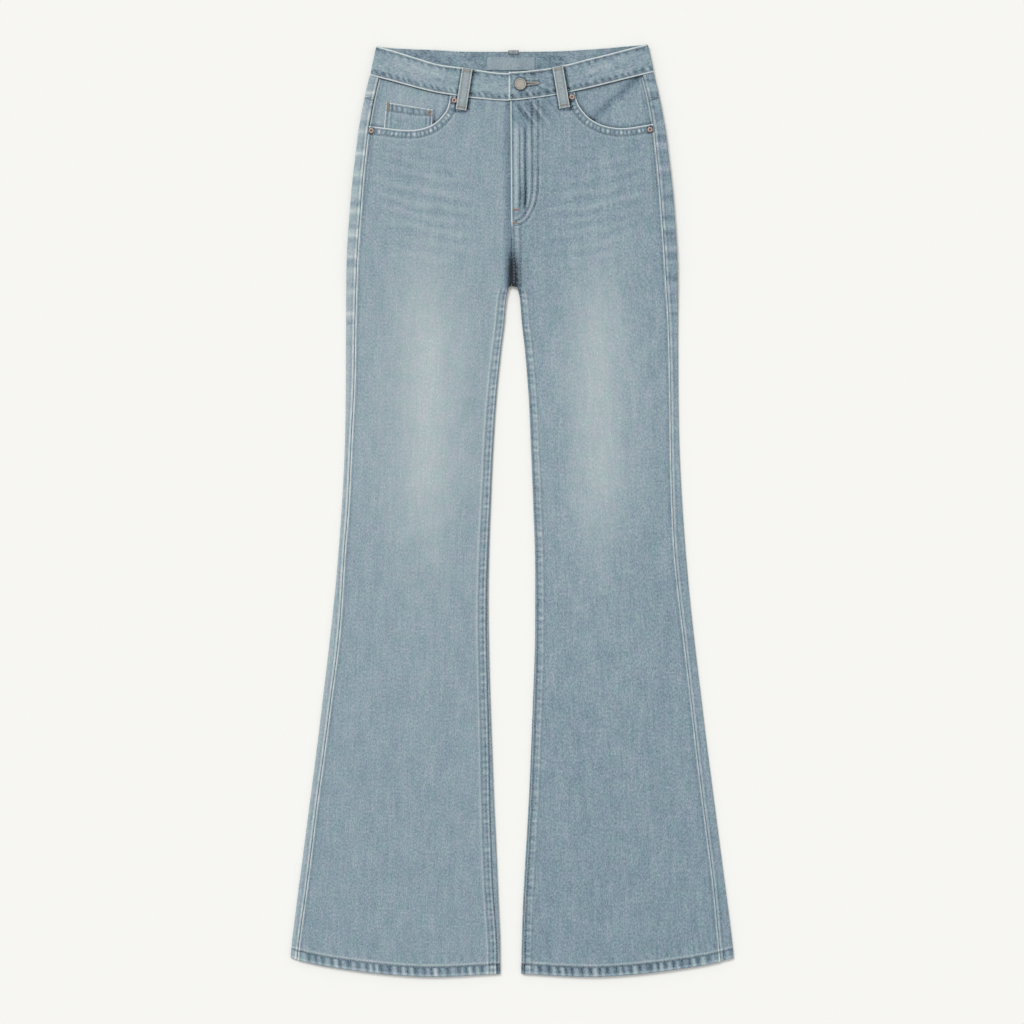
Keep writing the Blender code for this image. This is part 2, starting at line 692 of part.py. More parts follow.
def build_facing(side, look, collection):
    opening = OPENINGS[side]
    inner_end = opening[0].across - side.sign * 14.0
    first = outseam_edge(side, 40.0) - 0.6
    outline = []
    for step in range(9):
        across = blend(side.sign * first, inner_end, step / 8)
        outline.append((across, front_seam_down(across) + SEAM_GAP + 0.2))
    outline.append((inner_end, opening[1].down + 10.0))
    outline.append((opening[2].across - side.sign * 12.0, opening[2].down + 12.0))
    outline.append((opening[4].across, opening[4].down + FACING_UNDERLAP))
    outline.append((opening[6].across, opening[6].down + FACING_UNDERLAP))
    for down in (OPENING_END_DOWN[side] + FACING_UNDERLAP, 90.0, 65.0):
        outline.append((side.sign * (outseam_edge(side, down) - 0.6), down))
    return flat_piece("facing_" + side.name, outline, FACING_LOW, FACING_LOW + PATCH_WALL, look, collection)


COIN_OUTLINE = ((-151.0, 69.6), (-95.2, 78.6), (-96.4, 110.0), (-125.0, 112.5), (-154.6, 109.5))
COIN_WALL = 0.9


def build_coin_pocket(look, collection):
    low = FACING_LOW + PATCH_WALL + SEAM_GAP
    return flat_piece("coin_pocket", COIN_OUTLINE, low, low + COIN_WALL, look, collection)


# Back patch pocket, measured for the wearer's left, mirrored for the right
BACK_POCKET = ((32.0, 124.0), (160.0, 114.0), (155.0, 232.0), (95.0, 262.0), (40.0, 238.0))
BACK_POCKET_WALL = 1.6


def build_back_pocket(side, look, collection):
    outline = [(side.sign * across, down) for across, down in BACK_POCKET]
    return flat_piece("pocket_back_" + side.name, outline, 0.0, BACK_POCKET_WALL, look, collection)


SHIELD_LOW = HIP_LOW + WALL + SEAM_GAP
ZIP_TOP = HIP_LOW + 2 * WALL + HIP_SPACE
ZIP_START, ZIP_LAST = 83.0, 208.0
ZIP_CHAIN = (6.4, 11.6)    # the teeth lie between these places across
ZIP_EDGES = (3.1, 21.0)
SLIDER_HEIGHT = 9.0


def build_fly(look, metal_look, collection):
    shield = ((-13.0, 71.0), (27.0, 68.5), (27.0, 195.0), (15.0, 214.0), (-13.0, 220.0))
    flat_piece("fly_shield", shield, SHIELD_LOW, SHIELD_LOW + PATCH_WALL, look, collection)
    chain_low = SHIELD_LOW + PATCH_WALL + SEAM_GAP
    tape_low = ZIP_TOP - PATCH_WALL
    section = (
        (ZIP_EDGES[0], tape_low), (ZIP_CHAIN[0], tape_low), (ZIP_CHAIN[0] + 0.5, chain_low),
        (ZIP_CHAIN[1] - 0.5, chain_low), (ZIP_CHAIN[1], tape_low), (ZIP_EDGES[1], tape_low),
        (ZIP_EDGES[1], ZIP_TOP), (ZIP_EDGES[0], ZIP_TOP),
    )
    rings = [[(across, down, height) for across, height in section] for down in (ZIP_START, ZIP_LAST)]
    loft_rings("zip_tape", rings, look, collection)
    middle = (ZIP_CHAIN[0] + ZIP_CHAIN[1]) / 2
    slider = (
        (middle - 4.2, ZIP_START - SEAM_GAP - SLIDER_HEIGHT), (middle + 4.2, ZIP_START - SEAM_GAP - SLIDER_HEIGHT),
        (middle + 3.0, ZIP_START - SEAM_GAP), (middle - 3.0, ZIP_START - SEAM_GAP),
    )
    flat_piece("zip_slider", slider, chain_low, ZIP_TOP, metal_look, collection)


BUTTON_PROFILE = (
    (0.0, 1.55), (3.0, 1.60), (5.0, 1.75), (5.7, 2.15), (6.5, 2.25), (7.1, 1.75), (7.25, 1.1),
    (6.9, 0.4), (4.0, 0.0), (0.0, 0.0),
)
RIVET_PROFILE = ((0.0, 0.85), (1.0, 0.8), (1.5, 1.1), (2.6, 1.0), (3.4, 0.45), (3.5, 0.0), (0.0, 0.0))
BUTTON_PLACE = (10.1, 48.8)
RIVETS = {
    "rivet_top_right": (-69.2, 67.8), "rivet_side_right": (-168.7, 104.2),
    "rivet_top_left": (72.0, 63.8), "rivet_side_left": (165.6, 103.0),
}


def build_metal(button_look, rivet_look, collection):
    across, down = BUTTON_PLACE
    height = BAND_HIGH + band_lift(0.0, True) + SEAM_GAP
    turned_piece("button", BUTTON_PROFILE, across, down, height, 24, button_look, collection)
    height = HIP_LOW + 2 * WALL + HIP_SPACE + SEAM_GAP
    for name, (across, down) in RIVETS.items():
        turned_piece(name, RIVET_PROFILE, across, down, height, 12, rivet_look, collection)


LABEL = ((-30.0, 15.6), (27.6, 15.6), (27.6, 29.4), (-30.0, 29.4))
LABEL_WALL = 0.8


def build_label(look, collection):
    low = BAND_LOW + BAND_WALL + SEAM_GAP
    flat_piece("waist_label", LABEL, low, low + LABEL_WALL, look, collection)


def main():
    clear_scene()
    collection = bpy.data.collections.new("bootcut_jeans")
    bpy.context.scene.collection.children.link(collection)
    denim = make_look("denim", DENIM, 0.9)
    inside = make_look("denim_inside", DENIM_INSIDE, 0.92)
    trim = make_look("trim", THREAD_GREY, 0.85)
    steel = make_look("button_metal", METAL_GREY, 0.4, 0.8)
    copper = make_look("rivet_metal", COPPER, 0.4, 0.8)
    for side in SIDES:
        build_front(side, denim, collection)
        build_back(side, denim, collection)
        build_yoke(side, denim, collection)
        build_facing(side, denim, collection)
        build_back_pocket(side, denim, collection)
        build_front_loop(side, denim, collection)
        build_back_loop("loop_back_" + side.name, BACK_LOOPS[side], False, denim, collection)
    build_back_loop("loop_back_centre", CENTRE_LOOP, True, denim, collection)
    build_waistband(denim, collection)
    build_coin_pocket(denim, collection)
    build_fly(inside, steel, collection)
    build_label(trim, collection)
    build_metal(steel, copper, collection)


main()
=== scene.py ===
import math

import bmesh
import bpy
import numpy as np
from mathutils import Matrix


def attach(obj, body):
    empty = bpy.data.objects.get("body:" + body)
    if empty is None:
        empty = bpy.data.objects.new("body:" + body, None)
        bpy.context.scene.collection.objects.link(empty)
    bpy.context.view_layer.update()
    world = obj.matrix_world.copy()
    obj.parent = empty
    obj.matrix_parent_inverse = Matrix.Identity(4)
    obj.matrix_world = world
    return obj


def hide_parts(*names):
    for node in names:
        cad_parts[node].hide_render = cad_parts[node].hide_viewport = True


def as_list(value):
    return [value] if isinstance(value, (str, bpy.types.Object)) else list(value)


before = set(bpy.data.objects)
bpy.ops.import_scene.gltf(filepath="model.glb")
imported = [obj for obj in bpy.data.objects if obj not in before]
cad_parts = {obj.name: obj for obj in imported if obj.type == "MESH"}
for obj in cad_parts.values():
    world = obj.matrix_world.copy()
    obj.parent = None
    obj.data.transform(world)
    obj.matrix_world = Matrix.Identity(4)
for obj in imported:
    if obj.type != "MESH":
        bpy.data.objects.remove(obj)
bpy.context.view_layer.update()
print("stage: frame loaded")

# Bootcut jeans laid flat, front up. Places are in millimetres: "down" from the highest point of the
# waist towards the hems, "across" from the centre line, positive to the wearer's left

cloth = {
    "length": 1119.6, "wall": 1.2, "gap": 0.3, "bandWall": 2.2, "bandProud": 0.4,
    "hemHeight": 12.6, "hemProud": 0.35, "hipLow": 1.9, "centre": -0.7,
    "crotch": 290.4, "hemAt": 1105.0, "edgeRound": 0.42,
}
sides = {
    "right": {"name": "right", "sign": -1.0, "column": 1},
    "left": {"name": "left", "sign": 1.0, "column": 2},
}

# down, outer fold
outline = [
    (0, 162.0), (37, 170.8), (64, 177.0), (103, 184.2), (127, 187.2), (157, 190.8), (187, 193.8),
    (247, 198.0), (295, 199.2), (427, 199.8), (487, 201.0), (547, 204.0), (607, 208.2), (667, 213.6),
    (727, 220.2), (787, 227.4), (847, 234.6), (907, 242.4), (967, 250.2), (1027, 258.0), (1075, 264.0),
    (1098, 266.4),
]
# down, inner fold of the right and left leg
innerFolds = [
    (290, 4.2, 6.6), (295, 5.0, 7.4), (307, 7.2, 9.6), (337, 9.6, 12.0), (367, 13.2, 15.4),
    (427, 19.0, 20.2), (487, 22.8, 22.8), (547, 25.4, 25.2), (607, 27.6, 27.4), (667, 28.6, 27.8),
    (727, 27.8, 27.4), (787, 26.2, 25.2), (847, 24.0, 22.8), (907, 21.8, 20.2), (967, 19.0, 16.8),
    (1027, 16.6, 13.4), (1075, 14.6, 11.8), (1119, 14.2, 10.8),
]
# down, outseam in from the outer fold on the right and left
outseams = [
    (38, 12.0, 13.8), (65, 11.7, 13.3), (95, 11.7, 13.4), (115, 11.8, 13.7), (150, 12.1, 14.3),
    (186, 12.7, 15.0), (235, 12.8, 15.1), (283, 12.1, 13.8), (331, 11.0, 11.0), (407, 9.9, 9.2),
    (480, 7.5, 9.4), (560, 7.6, 11.5), (613, 7.2, 12.7), (715, 10.3, 11.5), (800, 9.7, 12.0),
    (915, 8.8, 13.0), (1003, 9.4, 13.3), (1082, 8.6, 15.8), (1119, 8.6, 15.8),
]
# down, cloth from the inner fold up to the inseam on the right and left
inseams = [
    (290, 0.2, 0.2), (350, 0.6, 0.4), (427, 1.1, 0.7), (560, 1.6, 0.9), (674, 3.1, 1.3),
    (815, 4.0, 2.2), (994, 6.9, 2.9), (1082, 4.8, 2.9), (1119, 4.8, 2.9),
]
# share of the half width, front top, front seam, back top
waist = [
    (-1.00, 2.4, 37.8, 2.4), (-0.85, 9.1, 44.2, 4.4), (-0.70, 16.8, 51.2, 5.6), (-0.55, 24.0, 57.6, 6.5),
    (-0.40, 27.6, 61.8, 8.0), (-0.25, 31.0, 65.5, 8.4), (0.00, 33.7, 67.9, 8.4), (0.25, 29.5, 62.8, 8.2),
    (0.40, 24.7, 58.0, 7.4), (0.55, 18.4, 52.4, 5.9), (0.70, 12.4, 46.2, 4.2), (0.85, 6.0, 39.8, 1.9),
    (1.00, 0.0, 33.6, 0.0),
]
waistHalf = {"top": 163.2, "seam": 170.4, "backRight": 35.4, "backLeft": 33.6}
# across, down along each pocket opening
openings = {
    "right": [
        (-74.4, 63.6), (-78.0, 78.0), (-85.4, 88.4), (-93.6, 95.6), (-104.4, 100.6), (-117.6, 103.2),
        (-134.4, 103.0), (-151.0, 101.0),
    ],
    "left": [
        (75.6, 60.0), (79.2, 72.0), (86.4, 82.4), (94.8, 90.4), (108.0, 97.2), (124.8, 100.8),
        (140.4, 100.6), (153.6, 98.6),
    ],
}
openingEnd = {"right": 98.6, "left": 96.0}
# share of a leg's width, down
hems = [
    (0.00, 1116.0), (0.10, 1117.4), (0.25, 1119.3), (0.35, 1119.6), (0.45, 1118.4), (0.58, 1115.6),
    (0.72, 1111.2), (0.86, 1105.6), (0.95, 1100.6), (1.00, 1097.2),
]
# down, lower face, hollow between the sheets, crown of the upper sheet
levels = [
    (0, 1.9, 2.4, 0.0), (262, 1.9, 2.4, 0.0), (290, 1.5, 1.8, 0.1), (320, 0.5, 1.2, 0.5),
    (350, 0.0, 0.9, 0.9), (430, 0.0, 0.9, 1.8), (967, 0.0, 0.9, 1.8), (1030, 0.2, 1.2, 1.3),
    (1064, 0.35, 1.4, 1.0), (1119, 0.35, 1.4, 0.8),
]
# down, edge of the right and of the left front at the fly, lift of the left one
flyEdges = [
    (60, 2.5, -1.9, 1.5), (205, 2.4, -1.0, 1.5), (222, 1.0, -0.8, 1.5), (234, -0.85, -0.55, 1.5),
    (246, -0.85, -0.55, 1.0), (262, -0.85, -0.55, 0.3), (275, -0.85, -0.55, 0.0),
    (290.4, -0.85, -0.55, 0.0),
]
flyFlat, flyLevel = 26.0, 42.0
coinRise = {"height": 0.45, "first": -163.0, "last": -86.0, "foot": 114.0}
yokeSeam = {"side": 64.0, "centre": 115.0}


def blend(start, end, share):
    return start + (end - start) * share


def ease(share):
    share = np.clip(share, 0.0, 1.0)
    return share * share * (3.0 - 2.0 * share)


def bell(distance, width):
    return np.exp(-(distance / width) ** 2)


def curve(rows, at, column=1):
    table = np.array(rows, dtype=float)
    x, y = table[:, 0], table[:, column]
    at = np.clip(np.asarray(at, dtype=float), x[0], x[-1])
    last = len(x) - 1
    low = np.maximum(np.arange(last + 1) - 1, 0)
    high = np.minimum(np.arange(last + 1) + 1, last)
    slope = (y[high] - y[low]) / (x[high] - x[low])
    i = np.clip(np.searchsorted(x, at, side="left") - 1, 0, last - 1)
    width = x[i + 1] - x[i]
    t = (at - x[i]) / width
    return (y[i] * (1 + 2 * t) * (1 - t) ** 2 + slope[i] * width * t * (1 - t) ** 2
            + y[i + 1] * t * t * (3 - 2 * t) + slope[i + 1] * width * t * t * (t - 1))


def straight(rows, at, column=1):
    table = np.array(rows, dtype=float)
    return np.interp(at, table[:, 0], table[:, column])


def wander(at, length, seed):
    # slow uneven swing between -1 and 1
    at = np.asarray(at, dtype=float) * (2 * math.pi / length)
    return (0.5 * np.sin(at + seed) + 0.3 * np.sin(at * 1.73 + 2.1 * seed + 1.0)
            + 0.2 * np.sin(at * 2.91 + 3.7 * seed + 2.0))


def puckers(along, pitch, seed):
    # uneven row of small puckers: 1 on a crest, 0 in a pinch
    phase = 2 * math.pi * along / pitch + 1.5 * wander(along, pitch * 6.3, seed)
    size = 0.75 + 0.35 * wander(along, pitch * 4.1, seed + 5.0)
    return (0.5 + 0.5 * np.cos(phase)) * np.clip(size, 0.2, 1.1)


# Form of the garment

def outerEdge(down):
    return curve(outline, down)


def innerEdge(side, down):
    return curve(innerFolds, down, side["column"])


def outseamEdge(side, down):
    return outerEdge(down) - curve(outseams, down, side["column"])


def hemDown(side, across):
    inner = innerEdge(side, cloth["hemAt"])
    share = (np.abs(across) - inner) / (outerEdge(cloth["hemAt"]) - inner)
    return curve(hems, share)


def frontSeam(across):
    return curve(waist, np.asarray(across) / waistHalf["seam"], 2)


def backBandSeam(share):
    height = blend(waistHalf["backRight"], waistHalf["backLeft"], (np.asarray(share) + 1) / 2)
    return curve(waist, share, 3) + height


def yokeSeamDown(across):
    share = np.minimum(1.0, np.abs(across) / outerEdge(yokeSeam["side"]))
    return blend(yokeSeam["centre"], yokeSeam["side"], share)


def turnedIn(side, across, down):
    # 1 where the hem is folded up, 0 above it
    return ease((cloth["hemHeight"] + 0.4 - (hemDown(side, across) - down)) / 1.0)


def heightsAt(down, turned):
    low = straight(levels, down) - cloth["hemProud"] * turned
    space = straight(levels, down, 2) - 2 * cloth["hemProud"] * turned
    wall = cloth["wall"] + 2 * cloth["hemProud"] * turned
    return low, low + 2 * wall + space, wall


def crownAt(side, across, down):
    inner = np.where(down > cloth["crotch"], innerEdge(side, down), 0.0)
    share = np.clip((np.abs(across) - inner) / (outerEdge(down) - inner), 0.0, 1.0)
    return straight(levels, down, 3) * (1.0 - (2.0 * share - 1.0) ** 2)


def frontLift(side, across, down):
    if side["sign"] > 0:
        return straight(flyEdges, down, 3) * (1.0 - ease((across - flyFlat) / (flyLevel - flyFlat)))
    ends = ease((across - coinRise["first"] + 6.0) / 6.0) * ease((coinRise["last"] + 10.0 - across) / 10.0)
    return coinRise["height"] * ends * (1.0 - ease((down - coinRise["foot"]) / 40.0))


def innerFold(side, down, radius, isFront):
    below = np.clip((down - cloth["crotch"]) / 0.9, 0.0, 1.0)
    if isFront:
        above = straight(flyEdges, down, side["column"]) * side["sign"]
    else:
        above = cloth["centre"] * side["sign"] + cloth["gap"] / 2 + 0 * down
    place = blend(above, innerEdge(side, down), below)
    reach = blend(radius, 4.5, ease((down - 283.0) / 7.0))
    reach = blend(reach, radius, below)
    drop = np.where(below > 0, 1.0, ease((down - 281.0) / (cloth["crotch"] - 281.0)) ** 2)
    return place, reach, drop


def innerPoint(side, down, along, depth, isFront, turned):
    low, top, _ = heightsAt(down, turned)
    radius = (top - low) / 2
    quarter = radius * math.pi / 2
    place, reach, drop = innerFold(side, down, radius, isFront)
    bend = np.minimum(np.abs(along), quarter) / quarter * math.pi / 2
    inset = np.minimum(depth, 1.9) * drop
    out = place + inset + (reach - inset) * (1 - np.cos(bend)) + np.maximum(0.0, np.abs(along) - quarter)
    across = side["sign"] * out
    rise = (radius - depth) * (1 - drop * (1 - np.sin(bend)))
    over = (along > 0) | ((along == 0) & isFront)
    height = (low + top) / 2 + np.where(over, rise + crownAt(side, across, down), -rise)
    if isFront:
        height = height + frontLift(side, across, down)
    return across, down + 0 * across, height


def outerPoint(side, down, along, depth, turned):
    low, top, _ = heightsAt(down, turned)
    radius = (top - low) / 2
    quarter = radius * math.pi / 2
    bend = np.minimum(np.abs(along), quarter) / quarter * math.pi / 2
    out = outerEdge(down) - depth - (radius - depth) * (1 - np.cos(bend))
    out = out - np.maximum(0.0, np.abs(along) - quarter)
    across = side["sign"] * out
    rise = (radius - depth) * np.sin(bend)
    crowned = rise + crownAt(side, across, down) * np.sin(bend)
    height = (low + top) / 2 + np.where(along > 0, crowned, -rise)
    return across, down + 0 * across, height


def topPoint(side, across, down, depth, turned):
    _, top, _ = heightsAt(down, turned)
    height = top - depth + crownAt(side, across, down) + frontLift(side, across, down)
    return across, down + 0 * across, height


def clothFromFold(side, across, down):
    # length of cloth from the inner border of a front panel to a place on it
    turned = turnedIn(side, across, down)
    low, top, _ = heightsAt(down, turned)
    radius = (top - low) / 2
    quarter = radius * math.pi / 2
    place, reach, _ = innerFold(side, down, radius, True)
    out = side["sign"] * across - place
    bend = np.arccos(np.clip(1 - out / reach, -1.0, 1.0))
    along = np.where(out < reach, bend / (math.pi / 2) * quarter, out - reach + quarter)
    start = cloth["gap"] / 2 + np.where(down > cloth["crotch"], curve(inseams, down, side["column"]), 0.0)
    return along - start


def metres(across, down, height):
    place = np.broadcast_arrays(across, cloth["length"] / 2 - np.asarray(down), height)
    return np.stack(place, axis=-1) * 0.001


# Pocket openings as dense curves

def alongCurve(points, count):
    points = np.array(points, dtype=float)
    at = np.linspace(0, len(points) - 1, count)
    index = np.arange(len(points))
    rows = np.column_stack([index, points])
    return np.column_stack([curve(rows, at, 1), curve(rows, at, 2)])


def openingPoints(side, count):
    end = side["sign"] * (outseamEdge(side, openingEnd[side["name"]]) - cloth["gap"])
    points = openings[side["name"]] + [(float(end), openingEnd[side["name"]])]
    return alongCurve(points, count)


def runLength(points):
    steps = np.hypot(*(np.diff(points[:, :2], axis=0).T))
    return np.concatenate([[0.0], np.cumsum(steps)])


def offCurve(points, across, down):
    # distance from a dense curve, and how far along it the nearest point is
    lengths = runLength(points)
    flat = np.stack([np.ravel(across), np.ravel(down)], axis=-1)
    best = np.full(len(flat), 1e9)
    at = np.zeros(len(flat))
    for start in range(0, len(flat), 4000):
        part = flat[start:start + 4000]
        gaps = np.hypot(part[:, None, 0] - points[None, :, 0], part[:, None, 1] - points[None, :, 1])
        nearest = gaps.argmin(axis=1)
        best[start:start + 4000] = gaps[np.arange(len(part)), nearest]
        at[start:start + 4000] = lengths[nearest]
    return best.reshape(np.shape(across)), at.reshape(np.shape(across))


openingCurves = {name: openingPoints(side, 321) for name, side in sides.items()}


# How each sheet of cloth is washed, worn and creased, and where shade and shadows are painted on it

wash = {
    "thighFade": {"right": 0.152, "left": 0.190}, "fadeAcross": 103.0, "fadeWidth": 36.0,
    # groove: painted shade in the outseam groove, on the end of each back panel
    "grooveShade": {"right": 0.24, "left": 0.06},
    "shade": {"right": 0.0, "left": -0.048}, "spread": {"right": 0.25, "left": 0.10},
}
# down, how pale the cloth is
washDown = [
    (0, 0.590), (150, 0.605), (250, 0.618), (360, 0.64), (520, 0.640), (640, 0.612), (760, 0.600),
    (900, 0.582), (1010, 0.572), (1120, 0.562),
]
fadeDown = [
    (120, 0.0), (200, 0.10), (260, 0.42), (330, 0.92), (430, 1.0), (520, 0.92), (600, 0.45), (680, 0.12),
    (800, 0.0),
]
# whiskers over each thigh: down at their middle, inner end, outer end, strength
whiskers = [
    (132, 50, 160, 0.55), (146, 44, 166, 0.75), (160, 36, 168, 0.8), (178, 32, 168, 1.0),
    (195, 30, 170, 1.15), (209, 36, 166, 0.8), (224, 30, 160, 0.85), (241, 34, 150, 0.6),
    (258, 42, 140, 0.5),
]
whiskerRun = {"middle": 93.0, "slope": 0.163, "bend": 0.00108, "width": 4.0, "shadow": 7.6}
# long soft creases: across and down of both ends, width, height
frontCreases = {
    "right": [
        (-40, 300, -66, 470, 9, 0.55), (-150, 330, -168, 560, 12, 0.45), (-60, 560, -150, 604, 11, 0.5),
        (-70, 604, -168, 650, 13, 0.45), (-96, 700, -120, 900, 16, 0.5), (-190, 780, -214, 1000, 14, 0.4),
        (-60, 840, -70, 1040, 15, 0.35), (-120, 130, -96, 250, 14, 0.35), (-46, 90, -62, 190, 11, 0.3),
    ],
    "left": [
        (42, 320, 60, 452, 9, 0.5), (148, 318, 170, 590, 12, 0.5), (58, 548, 140, 596, 12, 0.5),
        (78, 620, 180, 644, 12, 0.4), (104, 716, 134, 880, 15, 0.5), (188, 800, 220, 1030, 14, 0.4),
        (56, 820, 66, 1010, 15, 0.4), (118, 126, 100, 240, 13, 0.35), (60, 96, 72, 180, 12, 0.3),
    ],
}
backCreases = [
    (46, 306, 150, 340, 10, 0.8), (40, 330, 130, 392, 12, 0.7), (60, 600, 170, 580, 12, 0.9),
    (56, 640, 180, 660, 11, 0.8), (84, 680, 196, 720, 13, 0.7), (100, 430, 120, 560, 12, 0.5),
    (150, 760, 190, 980, 15, 0.8), (80, 800, 96, 1010, 14, 0.7),
]
inseamRows = {"right": (0.4, 9.2), "left": (2.1, 9.9)}
riseRows = (2.4, 10.1)
# marks beside a line: distance from it, width, relief, change of wash (worn lines, and the painted shadow in
# the waist row)
marksAt = {
    "opening": [(0.3, 1.15, 0.0, 0.52), (2.6, 0.9, -0.20, -0.26), (8.9, 1.1, -0.24, -0.32),
                (11.6, 1.5, 0.0, 0.08)],
    "flyEdge": [(0.4, 0.95, 0.25, 0.48), (2.6, 0.9, 0.0, -0.32)],
    "lip": [(0.7, 1.15, 0.30, 0.40), (2.9, 1.0, 0.0, -0.12)],
    "sewnSeam": [(3.0, 0.9, -0.20, -0.20), (4.9, 1.0, 0.0, 0.06), (6.6, 1.0, -0.20, -0.16)],
    "inseamRight": [(-2.0, 1.3, 0.0, 0.10), (0.4, 0.85, -0.16, -0.36), (2.1, 0.85, 0.0, 0.26),
                    (4.2, 1.0, 0.0, -0.16),
                    (6.4, 1.1, 0.0, 0.08), (9.2, 0.9, -0.16, -0.24), (11.5, 1.2, 0.0, 0.18)],
    "inseamLeft": [(-1.9, 0.9, 0.0, -0.16), (-0.2, 0.9, 0.0, 0.30), (2.1, 1.0, -0.16, -0.36),
                   (5.2, 1.2, 0.0, 0.08),
                   (8.4, 1.1, 0.0, 0.22), (9.9, 0.8, -0.16, -0.12)],
    "plainSeam": [(3.8, 1.8, 0.0, -0.05)],
    # waist: its first mark is a painted shadow that the waistband casts just below its seam
    "waist": [(0.2, 1.0, 0.0, -0.40), (2.2, 1.3, 0.0, 0.06), (5.0, 3.0, 0.0, -0.05)],
    "flyRow": [(0.0, 1.05, -0.22, -0.42), (2.6, 1.2, 0.0, 0.15), (-2.4, 1.1, 0.0, 0.06)],
    "hem": [(13.8, 1.2, 0.0, 0.26), (12.4, 0.9, -0.20, -0.26), (11.0, 1.1, 0.0, -0.18),
            (1.8, 1.5, 0.0, 0.20), (0.2, 0.9, 0.0, -0.10)],
    "zip": [(4.8, 2.6, 0.30, 0.24), (9.3, 0.9, -0.25, -0.30), (12.2, 1.5, 0.22, 0.17),
            (15.9, 1.5, -0.30, -0.40), (20.0, 2.4, 0.12, 0.06)],
    "rise": [(2.4, 0.9, -0.20, -0.34), (10.1, 1.0, -0.20, -0.32), (-0.4, 0.9, 0.0, -0.20)],
    "riseBack": [(2.4, 1.0, 0.0, -0.10), (8.6, 1.0, 0.0, -0.10), (5.5, 3.0, 0.25, 0.05)],
    "yokeEnd": [(-0.6, 1.1, 0.0, 0.20)],
    "yokeSide": [(0.5, 1.1, 0.0, -0.32), (2.8, 1.2, 0.0, 0.10), (9.4, 1.1, -0.10, -0.26)],
    "yoke": [(0.0, 1.1, 0.0, 0.14), (2.0, 1.0, 0.0, -0.11), (8.0, 1.0, 0.0, -0.11), (5.0, 3.0, 0.25, 0.05)],
    "coinTop": [(0.2, 1.2, 0.0, 0.38), (2.6, 0.9, 0.0, -0.24), (9.1, 1.0, -0.12, -0.26),
                (12.0, 1.6, 0.0, 0.06)],
    "coinSide": [(0.2, 1.15, 0.0, 0.38), (2.7, 1.0, -0.10, -0.28), (5.2, 1.1, 0.0, 0.10),
                 (7.6, 1.0, -0.05, -0.22)],
    "patchEdge": [(0.0, 1.3, 0.0, 0.30), (2.2, 0.9, -0.12, -0.11), (8.4, 0.9, -0.12, -0.11)],
    "patchTop": [(0.0, 1.3, 0.0, 0.28), (4.0, 0.9, -0.10, -0.10), (13.6, 0.9, -0.10, -0.10)],
    "bandTop": [(-0.4, 0.7, 0.0, -0.20), (0.9, 1.0, 0.0, 0.46), (3.0, 0.9, -0.13, -0.28)],
    "bandSeam": [(0.3, 1.05, 0.0, 0.44), (2.7, 0.9, -0.13, -0.24)],
    "bandEnd": [(0.2, 1.3, 0.0, 0.46), (3.2, 1.0, -0.14, -0.26)],
    "bandInside": [(0.3, 1.2, 0.0, -0.26), (3.0, 1.4, 0.0, 0.09)],
    "loopEdge": [(0.3, 0.95, 0.0, 0.42), (2.4, 0.85, -0.16, -0.25)],
}
flyRows = [
    [(23.6, 69.0), (23.8, 100.0), (24.0, 140.0), (24.0, 170.0), (22.6, 186.0), (18.0, 200.0),
     (11.0, 209.5), (3.4, 213.0)],
    [(31.4, 68.0), (31.4, 100.0), (31.2, 140.0), (31.0, 168.0), (29.6, 184.0), (25.6, 197.0),
     (18.0, 210.6), (9.0, 216.4), (3.0, 217.6)],
]
flyRowCurves = [alongCurve(row, 161) for row in flyRows]
frontLoops = {"right": (-53.4, -7.8), "left": (54.7, 8.5)}
buttonPlace = {"across": 10.1, "down": 48.8, "tip": 32.6, "tipDown": 47.2, "radius": 7.2}
rivetPlaces = {
    "rivet_top_right": (-69.2, 67.8), "rivet_side_right": (-168.7, 104.2),
    "rivet_top_left": (72.0, 63.8), "rivet_side_left": (165.6, 103.0),
}


def marks(distance, rows):
    # relief and wash beside a line, as a pair; the wash also carries painted shade where a row stands for it
    total = np.zeros((2,) + np.shape(distance))
    for at, width, relief, shade in rows:
        total += np.multiply.outer((relief, shade), bell(distance - at, width))
    return total


def pinched(strength, pinch, middle=0.5):
    # relief and wash of a row of puckers
    return np.stack([strength[0] * (pinch - middle), strength[1] * (pinch - middle)])


def creaseRelief(creases, across, down):
    total = np.zeros(np.shape(across))
    for index, (firstAcross, firstDown, lastAcross, lastDown, width, height) in enumerate(creases):
        run = np.array([lastAcross - firstAcross, lastDown - firstDown], dtype=float)
        length = math.hypot(*run)
        run = run / length
        at = (across - firstAcross) * run[0] + (down - firstDown) * run[1]
        off = (across - firstAcross) * run[1] - (down - firstDown) * run[0]
        off = off + 0.35 * width * wander(at, length * 0.8, index * 1.3)
        ends = ease(at / (0.3 * length)) * ease((length - at) / (0.35 * length))
        total += height * ends * (bell(off, width) - 0.45 * bell(off - 1.7 * width, width * 0.9))
    return total


def whiskerFolds(side, across, down):
    total = np.zeros(np.shape(across))
    out = side["sign"] * across
    beyond = out - whiskerRun["middle"]
    for index, (middleDown, inner, outer, strength) in enumerate(whiskers):
        line = middleDown - whiskerRun["slope"] * beyond - whiskerRun["bend"] * beyond ** 2
        line = line + 2.6 * wander(out, 70.0, index * 1.9 + side["column"] * 2.3)
        ends = ease((out - inner) / 34.0) * ease((outer - out) / 22.0)
        uneven = 0.75 + 0.35 * wander(out, 46.0, index * 2.7 + side["column"])
        off = down - line
        total += strength * ends * uneven * (
            bell(off, whiskerRun["width"]) - 0.8 * bell(off - whiskerRun["shadow"], whiskerRun["width"]))
    return total


